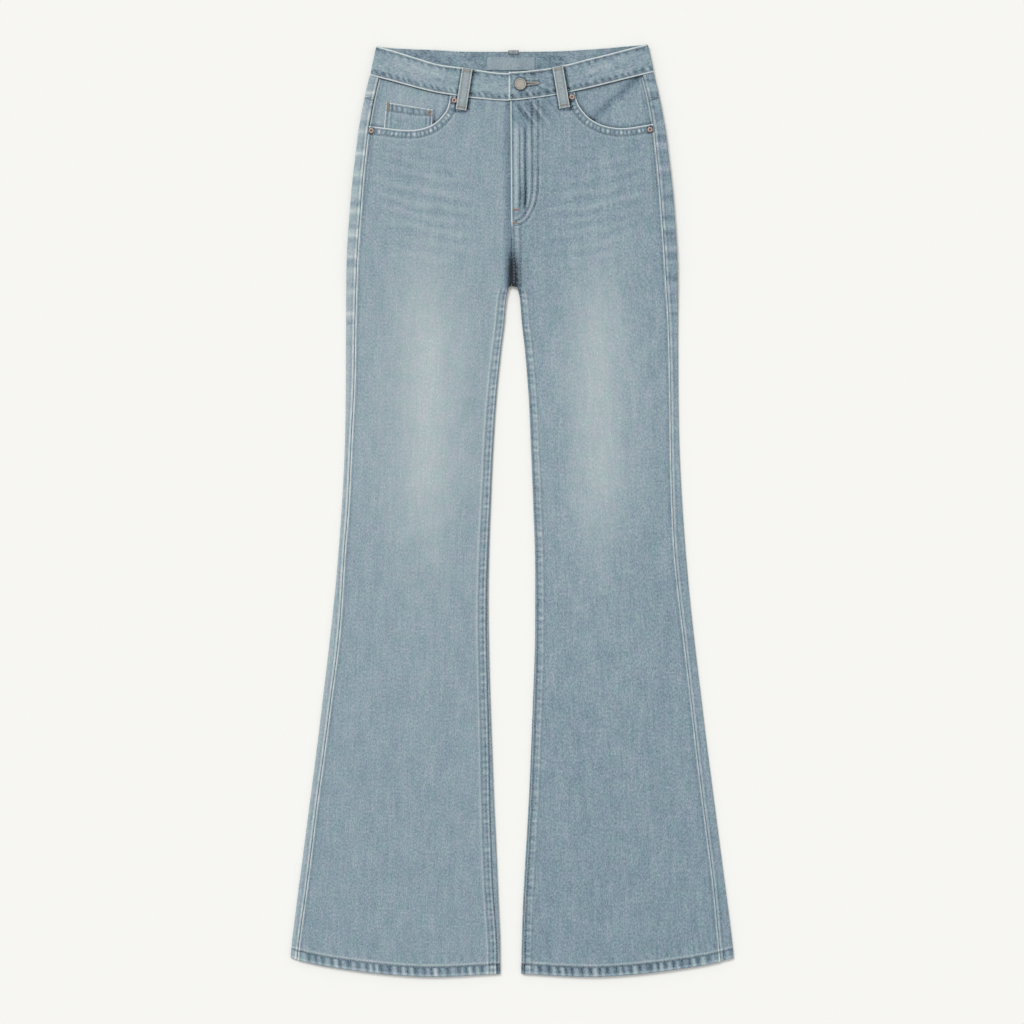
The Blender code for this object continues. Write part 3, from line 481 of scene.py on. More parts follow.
def loopShadows(across, down):
    # painted shadow that each front loop casts along both its sides and under its foot
    total = np.zeros(np.shape(across))
    for middle, run in frontLoops.values():
        fromTop = down - curve(waist, middle / waistHalf["top"], 1)
        off = across - middle - run * fromTop / 50.0
        along = ease((fromTop + 1.0) / 2.0) * (1 - ease((fromTop - 50.0) / 3.0))
        total -= along * (0.50 * bell(off - 7.6, 2.4) + 0.40 * bell(off + 7.2, 1.5))
        total -= 0.42 * bell(fromTop - 51.8, 1.7) * (1 - ease((np.abs(off) - 6.0) / 2.0))
    return total


def besideMetal(across, down, places, radius):
    # dark ring round a rivet or the button
    total = np.zeros(np.shape(across))
    for placeAcross, placeDown in places:
        total -= bell(np.hypot(across - placeAcross, down - placeDown) - radius, 1.0)
    return total


def frontLook(side, across, down):
    # relief and wash of a front panel, with painted shade and shadows on it
    name, sign = side["name"], side["sign"]
    out = sign * across
    fromFold = clothFromFold(side, across, down)
    fromSeam = outseamEdge(side, down) - cloth["gap"] - out
    fromHem = hemDown(side, across) - down
    fromWaist = down - frontSeam(across) - cloth["gap"]
    fadeAt = wash["fadeAcross"] + 4.0 * wander(down, 260.0, side["column"])
    fade = bell(out - fadeAt, wash["fadeWidth"]) + wash["spread"][name] * bell(out - fadeAt, 70.0)
    creases = creaseRelief(frontCreases[name], across, down)
    folds = whiskerFolds(side, across, down)
    pale = straight(washDown, down) + wash["shade"][name]
    pale = pale + wash["thighFade"][name] * straight(fadeDown, down) * fade + 0.03 * creases + 0.075 * folds
    look = np.stack([creases + 0.25 * folds, pale])
    # Inseam: a felled band between two sewn rows, pinched along its length
    inner, outer = inseamRows[name]
    onLeg = ease((down - 288.0) / 10.0)
    onBand = ease((fromFold + 1.0) / 1.2) * (1 - ease((fromFold - outer - 0.2) / 1.6))
    fell = marks(fromFold, marksAt["inseam" + name.capitalize()])
    fell = fell + pinched((0.34, 0.40), puckers(down, 8.4, side["column"] + 1.0)) * bell(
        fromFold - (inner + outer) / 2, 3.4)
    fell[0] += 0.34 * onBand
    look = look + fell * onLeg
    # Rise seam and fly
    onRise = 1 - onLeg
    if sign > 0:
        below = ease((down - 212.0) / 8.0) * onRise
        links = puckers(down, 5.6, 3.0)
        between = bell(across - 6.2, 2.9)
        look = look + marks(across, marksAt["rise"]) * below
        look = look + np.stack([0.18 + 0.18 * links, 0.26 * links - 0.02]) * between * below
        above = ease((down - 92.0) / 16.0) * (1 - ease((down - 190.0) / 18.0))
        look = look + marks(across - 0.5 * wander(down, 90.0, 2.0), marksAt["zip"]) * above
        look[1] -= 0.26 * bell(across - 13.5, 5.0) * bell(down - 184.0, 22.0)
        smudges = wander(down, 21.0, 4.0) * bell(across - 30.0, 7.0) * bell(down - 158.0, 40.0)
        look[1] -= 0.13 * np.abs(smudges)
        for row in flyRowCurves:
            look = look + marks(offCurve(row, across, down)[0], marksAt["flyRow"])
        channel = bell(across - 27.6, 2.6) * ease((down - 96) / 20) * (1 - ease((down - 190) / 16))
        look = look + pinched((0.2, 0.08), puckers(down, 7.0, 8.0)) * channel
        look[1] -= 0.06 * channel
        # Crumpled cloth under the button
        crumple = bell(down - 82.0, 15.0) * bell(across - 25.0, 21.0)
        swing = wander(across * 0.9 - down * 0.7, 13.0, 2.0)
        look = look + np.stack([0.60 * swing, 0.34 * swing - 0.20]) * crumple
        fromEdge = across - straight(flyEdges, down, 2)
        look = look + marks(fromEdge, marksAt["flyEdge"]) * (1 - ease((down - 212.0) / 14.0))
    else:
        fromEdge = across - straight(flyEdges, down, 2)
        # painted shadow that the raised fly edge of the left front casts on the right front beside it
        look[1] -= (0.10 * bell(fromEdge + 1.4, 1.6) + 0.17 * bell(fromEdge + 4.0, 4.2)) * onRise
    # Painted shade in the crotch fold, darkest where the four seams meet
    dark = ease((down - 228.0) / 50.0) * (1 - ease((down - 296.0) / 10.0)) * bell(across - 2.0, 7.5)
    look[1] -= 0.80 * dark ** 1.2
    # Outseam: the front ends in a worn lip beside the groove
    uneven = 0.85 + 0.25 * wander(down, 34.0, 4.0 + sign)
    look = look + marks(fromSeam, marksAt["lip"]) * uneven
    sewn = (1 - ease((down - 172.0) / 16.0)) * ease((down - 98.0) / 6.0)
    look = look + marks(fromSeam, marksAt["sewnSeam"]) * sewn
    look = look + marks(fromSeam, marksAt["plainSeam"]) * (1 - sewn)
    # Pocket opening: bright worn edge, then a pinched band between two sewn rows
    off, at = offCurve(openingCurves[name], across, down)
    look = look + marks(off, marksAt["opening"])
    look = look + pinched((0.45, 0.80), puckers(at, 5.0, side["column"] * 2.0), 0.44) * bell(off - 5.6, 2.4)
    look[1] += 0.05 * bell(off - 5.6, 2.0)
    look[0] += 0.30 * ease((9.2 - off) / 1.5)
    # Under the waistband: painted shadow of the band and tucks, painted shadows of the loops, dark rings
    # round the rivets
    tucks = wander(across, 17.0, 7.0 + sign) * bell(fromWaist - 6.0, 9.0)
    look = look + marks(fromWaist, marksAt["waist"]) + np.stack([0.28 * tucks, 0.09 * tucks])
    look[1] += loopShadows(across, down) + 0.34 * besideMetal(across, down, rivetPlaces.values(), 4.2)
    # Hem: twisted ridges between the sewn row and the fold
    inHem = ease((11.6 - fromHem) / 2.0)
    seamEnds = bell(fromSeam, 7.5) + bell(fromFold - 7.0, 6.0)
    look = look + pinched((0.45, 0.62), puckers(across + 0.12 * fromHem, 10.0, 5.0 + sign), 0.55) * (
        inHem * (1 - np.minimum(seamEnds, 1.0)) * (1 - 0.6 * bell(fromHem, 2.6)))
    look[1] += inHem * (0.02 + 0.11 * seamEnds)
    look = look + marks(fromHem, marksAt["hem"])
    drag = wander(across + 0.5 * fromHem, 14.0, 9.0 + sign) * bell(fromHem - 18.0, 7.0)
    drag = drag * ease((fromHem - 14.0) / 6.0)
    look = look + np.stack([0.18 * drag, 0.09 * drag])
    return look[0] * (1 - 0.35 * turnedIn(side, across, down)), look[1]


def backLook(side, across, down, border, isOver, hasHem):
    # relief and wash of a back panel or yoke, with painted shade in the outseam groove; border is the
    # distance from its end at the outseam
    sign = side["sign"]
    fromHem = hemDown(side, across) - down
    out = sign * across
    creases = creaseRelief(backCreases, out + 6.0 * sign, down)
    blobs = wander(down, 24.0, 6.0 + sign) * (0.5 + 0.5 * wander(down, 9.5, 2.0 + sign))
    onHip = 1 - ease((down - 300.0) / 90.0)
    if isOver:
        pale = straight(washDown, down) + 0.03 + 0.32 * blobs * (0.12 + 0.88 * onHip) - 0.10 * onHip
        pale = pale + (0.10 + 0.10 * onHip if sign < 0 else -0.06 + 0.06 * onHip)
        look = np.stack([0.25 * blobs * onHip - 0.22 * bell(border, 1.5), pale])
    else:
        fade = bell(out - 105.0, 44.0) * straight(fadeDown, down + 60.0)
        look = np.stack([-0.55 * np.abs(creases), straight(washDown, down) + 0.10 * fade])
    uneven = 0.8 + 0.3 * wander(down, 27.0, 6.0 + sign)
    grooveShade = wash["grooveShade"][side["name"]]
    look[1] += (0.26 * bell(border - 1.9, 1.0) - 0.16 * bell(border - 4.2, 1.0)) * uneven
    # painted shade in the groove where the back panel's end meets the front
    look[1] -= grooveShade * bell(border, 1.0)
    if hasHem:
        twist = puckers(across + 0.12 * fromHem, 10.0, 5.0 + sign)
        roping = pinched((0.3, 0.26) if isOver else (0.15, 0.26), twist, 0.5 if isOver else 1.0)
        look = look + roping * ease((11.6 - fromHem) / 2.0) + marks(fromHem, marksAt["hem"])
    return look[0], look[1]


# Mesh making

def rimLoop(rows, columns):
    top = [j for j in range(columns - 1)]
    right = [i * columns + columns - 1 for i in range(rows - 1)]
    bottom = [(rows - 1) * columns + j for j in range(columns - 1, 0, -1)]
    left = [i * columns for i in range(rows - 1, 0, -1)]
    return top + right + bottom + left


def gridQuads(rows, columns, start):
    i, j = np.meshgrid(np.arange(rows - 1), np.arange(columns - 1), indexing="ij")
    corner = (start + i * columns + j).ravel()
    return np.stack([corner, corner + 1, corner + columns + 1, corner + columns], axis=-1).tolist()


def newPiece(name, points, faces, looks, faceLooks=None, sharp=50.0):
    # mesh object with its faces turned outwards
    mesh = bpy.data.meshes.new(name)
    mesh.from_pydata(points.tolist(), [], faces)
    shape = bmesh.new()
    shape.from_mesh(mesh)
    bmesh.ops.recalc_face_normals(shape, faces=shape.faces)
    shape.to_mesh(mesh)
    shape.free()
    for look in looks:
        mesh.materials.append(look)
    if faceLooks is not None:
        mesh.polygons.foreach_set("material_index", np.array(faceLooks, dtype=np.int32))
    mesh.shade_smooth()
    mesh.set_sharp_from_angle(angle=math.radians(sharp))
    mesh.update()
    piece = bpy.data.objects.new(name, mesh)
    bpy.context.scene.collection.objects.link(piece)
    return piece


def storeLook(piece, pale, place):
    mesh = piece.data
    # the wash attribute holds how pale the cloth is: its wash and wear together with the painted shade and
    # shadows
    shade = mesh.attributes.new("wash", "FLOAT", "POINT")
    shade.data.foreach_set("value", np.asarray(pale, dtype=np.float32).ravel())
    grain = mesh.attributes.new("clothPlace", "FLOAT_VECTOR", "POINT")
    grain.data.foreach_set("vector", np.asarray(place, dtype=np.float32).ravel())


def clothPiece(name, outer, inner, pale, placing, looks, coarse=2, seed=0.0):
    # closed wall of cloth between a fine outer grid and an inner grid of every second point
    rows, columns = outer.shape[:2]
    inner = inner[::coarse, ::coarse]
    innerRows, innerColumns = inner.shape[:2]
    count = rows * columns
    faces = gridQuads(rows, columns, 0)
    outerFaces = len(faces)
    faces += gridQuads(innerRows, innerColumns, count)
    fine = rimLoop(rows, columns)
    plain = [count + k for k in rimLoop(innerRows, innerColumns)]
    fine.append(fine[0])
    plain.append(plain[0])
    rim = []
    for k in range(len(plain) - 1):
        if coarse == 1:
            rim.append((fine[k], fine[k + 1], plain[k + 1], plain[k]))
        else:
            f, g, h = fine[2 * k], fine[2 * k + 1], fine[2 * k + 2]
            rim += [(f, g, plain[k]), (g, plain[k + 1], plain[k]), (g, h, plain[k + 1])]
    looksOf = [0] * outerFaces + [1] * (len(faces) - outerFaces) + [0] * len(rim)
    points = np.concatenate([outer.reshape(-1, 3), inner.reshape(-1, 3)])
    piece = newPiece(name, points, faces + rim, looks, looksOf)
    innerPale = pale[::coarse, ::coarse]
    place = np.concatenate([placing.reshape(-1, 3), placing[::coarse, ::coarse].reshape(-1, 3) + 0.37])
    storeLook(piece, np.concatenate([pale.ravel(), innerPale.ravel()]), place + seed)
    return piece


def clothPlace(side, across, down):
    # the grain of a leg runs down its own middle line
    middle = side["sign"] * (outerEdge(down) + np.where(down > 290, innerEdge(side, down), 0.0)) / 2
    return np.stack([across - middle, down, 0 * down], axis=-1) * 0.001


def edgeDrop(distance):
    return cloth["edgeRound"] * np.clip(1 - distance / 0.55, 0, 1) ** 2


print("stage: form ready")


# Materials

def addNode(tree, kind, inputs=None, **settings):
    # a node with its settings, each named input set to a value or linked to a socket
    made = tree.nodes.new(kind)
    for key, value in settings.items():
        setattr(made, key, value)
    for key, value in (inputs or {}).items():
        if isinstance(value, bpy.types.NodeSocket):
            tree.links.new(value, made.inputs[key])
        else:
            made.inputs[key].default_value = value
    return made


def calc(tree, operation, *values):
    return addNode(tree, "ShaderNodeMath", dict(enumerate(values)), operation=operation).outputs[0]


def weighted(tree, first, *others):
    # sum of sockets, each times its factor
    total = calc(tree, "MULTIPLY", *first)
    for socket, factor in others:
        total = calc(tree, "MULTIPLY_ADD", socket, factor, total)
    return total


def mixColours(tree, share, first, second, blending="MIX"):
    made = addNode(tree, "ShaderNodeMix", data_type="RGBA", blend_type=blending)
    named = {(s.name, s.type): s for s in made.inputs}
    for key, value in ((("Factor", "VALUE"), share), (("A", "RGBA"), first), (("B", "RGBA"), second)):
        if isinstance(value, (float, tuple)):
            named[key].default_value = value
        else:
            tree.links.new(value, named[key])
    return next(s for s in made.outputs if s.type == "RGBA")


def newTree(name, kind, inputs, outputs):
    # a group of nodes whose inputs are (name, kind of socket, value) and whose outputs are (name, kind)
    tree = bpy.data.node_groups.new(name, kind)
    for label, socketKind, value in inputs:
        socket = tree.interface.new_socket(name=label, in_out="INPUT", socket_type="NodeSocket" + socketKind)
        if value is not None:
            socket.default_value = value
    for label, socketKind in outputs:
        tree.interface.new_socket(name=label, in_out="OUTPUT", socket_type="NodeSocket" + socketKind)
    return tree, tree.nodes.new("NodeGroupInput").outputs, tree.nodes.new("NodeGroupOutput")


def giveOut(tree, outlet, **values):
    for key, socket in values.items():
        tree.links.new(socket, outlet.inputs[key])


def noiseAt(tree, vector, scale, detail, roughness=0.55):
    mapping = addNode(tree, "ShaderNodeMapping", {"Vector": vector, "Scale": scale})
    return addNode(tree, "ShaderNodeTexNoise", {"Vector": mapping.outputs[0], "Scale": 1.0, "Detail": detail,
                                                "Roughness": roughness}).outputs[0]


weaveNoise = {
    # scale across and along the warp, detail, roughness
    "streaks": (430.0, 28.0, 2.5, 0.55), "slubs": (130.0, 9.0, 2.0, 0.55), "weft": (45.0, 520.0, 2.0, 0.55),
    "grain": (700.0, 370.0, 2.0, 0.6), "blotch": (60.0, 34.0, 3.0, 0.55),
}
twillForm = {"across": 170.0, "along": 110.0, "slant": 32.0, "share": 0.25}


def denimWeave():
    # uneven warp streaks, fine grain and twill lines of denim; values swing about nought
    tree, given, outlet = newTree(
        "denimWeave", "ShaderNodeTree",
        [("Place", "Vector", None), ("Streaks", "Float", 1.0), ("Grain", "Float", 1.0),
         ("Blotches", "Float", 1.0)],
        [("Shade", "Float"), ("Height", "Float"), ("Tint", "Float")])
    place = given["Place"]
    swing = {key: calc(tree, "SUBTRACT", noiseAt(tree, place, (x, y, 1.0), detail, rough), 0.5)
             for key, (x, y, detail, rough) in weaveNoise.items()}
    lines = weighted(tree, (swing["streaks"], 0.20), (swing["slubs"], 0.10), (swing["weft"], 0.09))
    fine, wide = calc(tree, "MULTIPLY", swing["grain"], 0.70), calc(tree, "MULTIPLY", swing["blotch"], 0.16)
    shade = weighted(tree, (lines, given["Streaks"]), (fine, given["Grain"]), (wide, given["Blotches"]))
    slant = addNode(tree, "ShaderNodeMapping", {
        "Vector": place, "Scale": (twillForm["across"], twillForm["along"], 1.0),
        "Rotation": (0.0, 0.0, math.radians(twillForm["slant"]))})
    twill = addNode(tree, "ShaderNodeTexWave", {"Vector": slant.outputs[0], "Scale": 1.0, "Distortion": 0.6,
                                                "Detail": 1.0}, wave_type="BANDS", bands_direction="X")
    height = weighted(tree, (twill.outputs["Fac"], twillForm["share"]), (swing["grain"], 1.0),
                      (swing["streaks"], 0.8))
    giveOut(tree, outlet, Shade=shade, Height=height, Tint=noiseAt(tree, place, (75.0, 60.0, 1.0), 2.0))
    return tree


def colourRamp(tree, level, stops):
    # colours between the stops, which are (place, colour)
    ramp = addNode(tree, "ShaderNodeValToRGB", {0: level})
    points = ramp.color_ramp.elements
    while len(points) < len(stops):
        points.new(0.5)
    for point, (at, colour) in zip(points, stops):
        point.position = at
        point.color = (*colour, 1.0)
    return ramp.outputs["Color"]


dyeStops = [
    (0.0, (0.024, 0.033, 0.043)), (0.25, (0.110, 0.162, 0.206)), (0.5, (0.214, 0.296, 0.352)),
    (0.6, (0.268, 0.352, 0.402)), (0.8, (0.405, 0.480, 0.505)), (1.0, (0.655, 0.705, 0.705)),
]
# tints that the cloth swings between, and the cast that a warm cloth moves to
greenCast, violetCast = (0.945, 1.010, 0.975, 1.0), (1.055, 0.990, 1.025, 1.0)
warmCast = (0.52, 0.50, 0.44, 1.0)


def indigoWash():
    # turns how pale a place is into its colour and roughness
    tree, given, outlet = newTree(
        "indigoWash", "ShaderNodeTree",
        [("Pale", "Float", 0.6), ("Shade", "Float", 0.0), ("Lift", "Float", 0.0), ("Warmth", "Float", 0.0),
         ("Tint", "Float", 0.5)],
        [("Colour", "Color"), ("Roughness", "Float")])
    # the weave shows less where the cloth is paler
    worn = calc(tree, "MULTIPLY_ADD", given["Pale"], -2.6, 2.6)
    worn = calc(tree, "MAXIMUM", calc(tree, "MINIMUM", worn, 1.15), 0.3)
    level = calc(tree, "MULTIPLY_ADD", given["Shade"], worn, given["Pale"])
    level = calc(tree, "ADD", level, given["Lift"])
    warm = mixColours(tree, given["Warmth"], colourRamp(tree, level, dyeStops), warmCast)
    cast = addNode(tree, "ShaderNodeMapRange", {"Value": given["Tint"], "From Min": 0.3, "From Max": 0.7})
    tints = mixColours(tree, cast.outputs["Result"], greenCast, violetCast)
    giveOut(tree, outlet, Colour=mixColours(tree, 1.0, warm, tints, "MULTIPLY"),
            Roughness=calc(tree, "MULTIPLY_ADD", level, -0.12, 0.95))
    return tree


groups = {"weave": denimWeave(), "wash": indigoWash()}


def newLook(name, inputs):
    # a material, its tree and its shader with the inputs it is given
    look = bpy.data.materials.new(name)
    look.use_nodes = True
    shader = look.node_tree.nodes["Principled BSDF"]
    for key, value in inputs.items():
        shader.inputs[key].default_value = value
    return look, look.node_tree, shader


def paint(tree, shader, colour, roughness, height, strength, distance):
    bump = addNode(tree, "ShaderNodeBump", {"Height": height, "Strength": strength, "Distance": distance})
    for key, socket in (("Base Color", colour), ("Roughness", roughness), ("Normal", bump.outputs["Normal"])):
        tree.links.new(socket, shader.inputs[key])


def denimLook(name, streaks=1.0, grain=1.0, blotches=1.0, lift=0.0, warmth=0.0):
    look, tree, shader = newLook(name, {"Specular IOR Level": 0.18, "Sheen Weight": 0.06,
                                        "Sheen Roughness": 0.6})
    place = addNode(tree, "ShaderNodeAttribute", attribute_name="clothPlace").outputs["Vector"]
    pale = addNode(tree, "ShaderNodeAttribute", attribute_name="wash").outputs["Fac"]
    weave = addNode(tree, "ShaderNodeGroup", {"Place": place, "Streaks": streaks, "Grain": grain,
                                              "Blotches": blotches}, node_tree=groups["weave"])
    dye = addNode(tree, "ShaderNodeGroup", {
        "Pale": pale, "Shade": weave.outputs["Shade"], "Tint": weave.outputs["Tint"], "Lift": lift,
        "Warmth": warmth}, node_tree=groups["wash"])
    paint(tree, shader, dye.outputs["Colour"], dye.outputs["Roughness"], weave.outputs["Height"],
          0.35, 0.0002)
    return look


def plainLook(name, colour, roughness, metallic=0.0, spread=0.12, scale=900.0):
    # small finish with its colour and roughness broken up by noise on the object's own place
    look, tree, shader = newLook(name, {"Metallic": metallic})
    where = tree.nodes.new("ShaderNodeTexCoord")
    noise = noiseAt(tree, where.outputs["Object"], (scale, scale, scale), 4.0, 0.6)
    low, high = [c * (1 - 2 * spread) for c in colour], [min(1.0, c * (1 + spread)) for c in colour]
    mottled = colourRamp(tree, noise, [(0.3, low), (0.72, high)])
    dark = addNode(tree, "ShaderNodeAttribute", attribute_name="dark").outputs["Fac"]
    paint(tree, shader, mixColours(tree, dark, mottled, (0.045, 0.042, 0.04, 1.0)),
          calc(tree, "MULTIPLY_ADD", noise, 0.25, roughness - 0.12), noise, 0.25, 0.0001)
    return look


looks = {
    "denim": denimLook("denimFace"),
    "inside": denimLook("denimInside", 0.5, 1.2, 0.6, 0.10, 0.25),
    "band": denimLook("denimBand", 0.9, 1.1, 2.2),
    "bandInside": denimLook("denimBandInside", 0.9, 1.4, 3.6, -0.15),
    "loop": denimLook("denimLoop", 0.9, 1.2, 1.2, 0.0, 0.24),
    "label": denimLook("labelCloth", 0.5, 0.8, 1.6, -0.02, 0.10),
    "threadGrey": plainLook("threadGrey", (0.40, 0.43, 0.43), 0.8),
    "threadTan": plainLook("threadTan", (0.37, 0.32, 0.26), 0.8),
    "threadBeige": plainLook("threadBeige", (0.52, 0.47, 0.42), 0.8, 0.0, 0.3),
    "threadRust": plainLook("threadRust", (0.42, 0.21, 0.12), 0.8),
    "tape": plainLook("zipTape", (0.13, 0.17, 0.20), 0.9),
    "teeth": plainLook("zipMetal", (0.42, 0.40, 0.36), 0.45, 0.9),
    "button": plainLook("buttonMetal", (0.45, 0.43, 0.385), 0.62, 0.35, 0.12, 500.0),
    "copper": plainLook("rivetCopper", (0.54, 0.39, 0.335), 0.5, 0.4, 0.2, 700.0),
}
print("stage: materials ready")


# Panels

def offsets(first, step, last):
    # fine steps beside an edge, then even ones
    start = [0.0, 0.3, 0.8, 1.5, 2.4, 3.4]
    count = max(1, round((last - start[-1]) / step))
    return np.array([first + s for s in start] + [first + start[-1] + (last - start[-1]) * (k + 1) / count
                                                  for k in range(count)])


def evenCount(values):
    # an even number of steps, so that every second point ends on the last
    values = np.asarray(values, dtype=float)
    if len(values) % 2 == 0:
        middle = len(values) // 2
        values = np.insert(values, middle, (values[middle - 1] + values[middle]) / 2)
    return values


def panelRows(firstLevel, levelStep, topStep):
    # rows as down = a * top + b + c * hem
    span = 100.0
    top = offsets(0.0, topStep, span) / span
    rows = [(1 - t, firstLevel * t, 0.0) for t in top]
    count = round((1064 - firstLevel) / levelStep)
    even = [firstLevel + (1064 - firstLevel) * (k + 1) / count for k in range(count)]
    close = [cloth["crotch"] + step for step in (-3.6, -2.0, -0.9, -0.2, 0.15, 0.5, 0.9, 1.4, 2.4, 3.8)]
    levelsOf = [level for level in even if not close[0] - 1.2 < level < close[-1] + 1.2]
    rows += [(0.0, level, 0.0) for level in sorted(levelsOf + close)]
    lead = 16.0
    steps = max(4, round(40 / levelStep))
    rows += [(0.0, 1064 * (1 - (k + 1) / steps) - lead * (k + 1) / steps, (k + 1) / steps)
             for k in range(steps)]
    inHem = [14.6, 13.8, 13.1, 12.5, 11.9, 11.2, 10.4, 9.4, 8.3, 7.2, 6.1, 5.0, 3.9, 2.9, 2.0, 1.2, 0.6,
             0.25, 0.0]
    rows += [(0.0, -value, 1.0) for value in inHem]
    if len(rows) % 2 == 0:
        first, second = rows[len(top) + 3], rows[len(top) + 4]
        rows.insert(len(top) + 4, tuple((p + q) / 2 for p, q in zip(first, second)))
    return np.array(rows)


frontPlan = {"innerReach": 14.0, "seamColumns": 42, "openingColumns": 88, "level": 225.0, "levelStep": 3.2,
             "topStep": 1.12}


def frontPanel(side):
    name, sign = side["name"], side["sign"]
    rows = panelRows(frontPlan["level"], frontPlan["levelStep"], frontPlan["topStep"])
    a, b, c = rows[:, 0:1], rows[:, 1:2], rows[:, 2:3]
    borderShare = np.where(a > 0, 1 - a, 1.0)
    # Columns beside the inner border, where the cloth may bend over the fold
    reach = offsets(0.0, 1.15, frontPlan["innerReach"])[None, :]
    across = np.full((len(rows), reach.shape[1]), sign * 10.0) + 0 * reach
    for _ in range(4):
        topDown = frontSeam(across) + cloth["gap"]
        down = a * topDown + b + c * hemDown(side, across)
        start = cloth["gap"] / 2 + np.where(down > cloth["crotch"], curve(inseams, down, side["column"]), 0)
        along = start + reach
        turned = turnedIn(side, across, down)
        across, _, _ = innerPoint(side, down, along, 0.0, True, turned)
    innerAcross, innerDown, innerAlong = across, down, along
    # The others are spread to the outseam; at the top they follow the waist and the pocket opening
    seamColumns, openingColumns = frontPlan["seamColumns"], frontPlan["openingColumns"]
    shares = np.concatenate([np.linspace(0, 4 / 12, seamColumns + 1)[1:],
                             np.linspace(4 / 12, 1, openingColumns + 1)[1:]])
    nearEnd = np.array([0.0, 0.3, 0.8, 1.5, 2.4, 3.4, 4.6])[::-1] / 190.0
    shares = np.concatenate([shares[shares < 1 - nearEnd[0] - 0.004], 1 - nearEnd])
    if (len(shares) + reach.shape[1]) % 2 == 0:
        shares = np.insert(shares, 5, (shares[4] + shares[5]) / 2)
    u = shares[None, :]
    opening = openingCurves[name]
    at = np.linspace(0, 1, len(opening))
    topOnCurve = np.clip((shares - 4 / 12) / (8 / 12), 0, 1)
    curveAcross = np.interp(topOnCurve, at, opening[:, 0])
    curveDown = np.interp(topOnCurve, at, opening[:, 1])
    corner = opening[0, 0]
    topStart = innerAcross[0, -1]
    seamAcross = blend(topStart, corner, np.clip(shares / (4 / 12), 0, 1))
    onSeam = shares <= 4 / 12
    topAcross = np.where(onSeam, seamAcross, curveAcross)[None, :]
    topDown = np.where(onSeam, frontSeam(seamAcross) + cloth["gap"], curveDown)[None, :]
    lowStart = innerAcross[:, -1:]
    topEnd = sign * (outseamEdge(side, topDown) - cloth["gap"])
    slip = topAcross - blend(topStart, topEnd, u)
    across = blend(lowStart, sign * 190.0, u)
    for _ in range(4):
        down = a * topDown + b + c * hemDown(side, across)
        end = sign * (outseamEdge(side, down) - cloth["gap"])
        across = blend(lowStart, end, u) + slip * (1 - ease(borderShare))
    across = np.concatenate([innerAcross, across], axis=1)
    down = np.concatenate([innerDown, down], axis=1)
    split = innerAcross.shape[1]
    relief, pale = frontLook(side, across, down)
    turned = turnedIn(side, across, down)
    # Rounded edges all round
    onRise = innerDown < cloth["crotch"]
    fromEdge = sign * innerAcross - innerFold(side, innerDown, 1.0, True)[0]
    fromFold = np.where(onRise, fromEdge, 0 * innerAlong + reach)
    fromFold = np.concatenate([fromFold, np.full((len(rows), len(shares)), 9.0)], axis=1)
    fromSeam = outseamEdge(side, down) - cloth["gap"] - sign * across
    fromHem = hemDown(side, across) - down
    fromTop = np.abs(down - down[0:1, :])
    drop = np.maximum.reduce([edgeDrop(fromFold), edgeDrop(fromSeam), edgeDrop(fromHem), edgeDrop(fromTop)])
    outerDepth = drop - relief
    wall = heightsAt(down, turned)[2]
    innerDepth = wall - 0.6 * relief * (drop < 0.01)
    grids = []
    for depth in (outerDepth, innerDepth):
        bent = innerPoint(side, down[:, :split], innerAlong, depth[:, :split], True, turned[:, :split])
        flat = topPoint(side, across[:, split:], down[:, split:], depth[:, split:], turned[:, split:])
        grids.append(np.concatenate([metres(*bent), metres(*flat)], axis=1))
    placing = clothPlace(side, across, down)
    return clothPiece("cloth_front_" + name, grids[0], grids[1], pale, placing,
                      (looks["denim"], looks["inside"]), 2, 0.11 * side["column"])


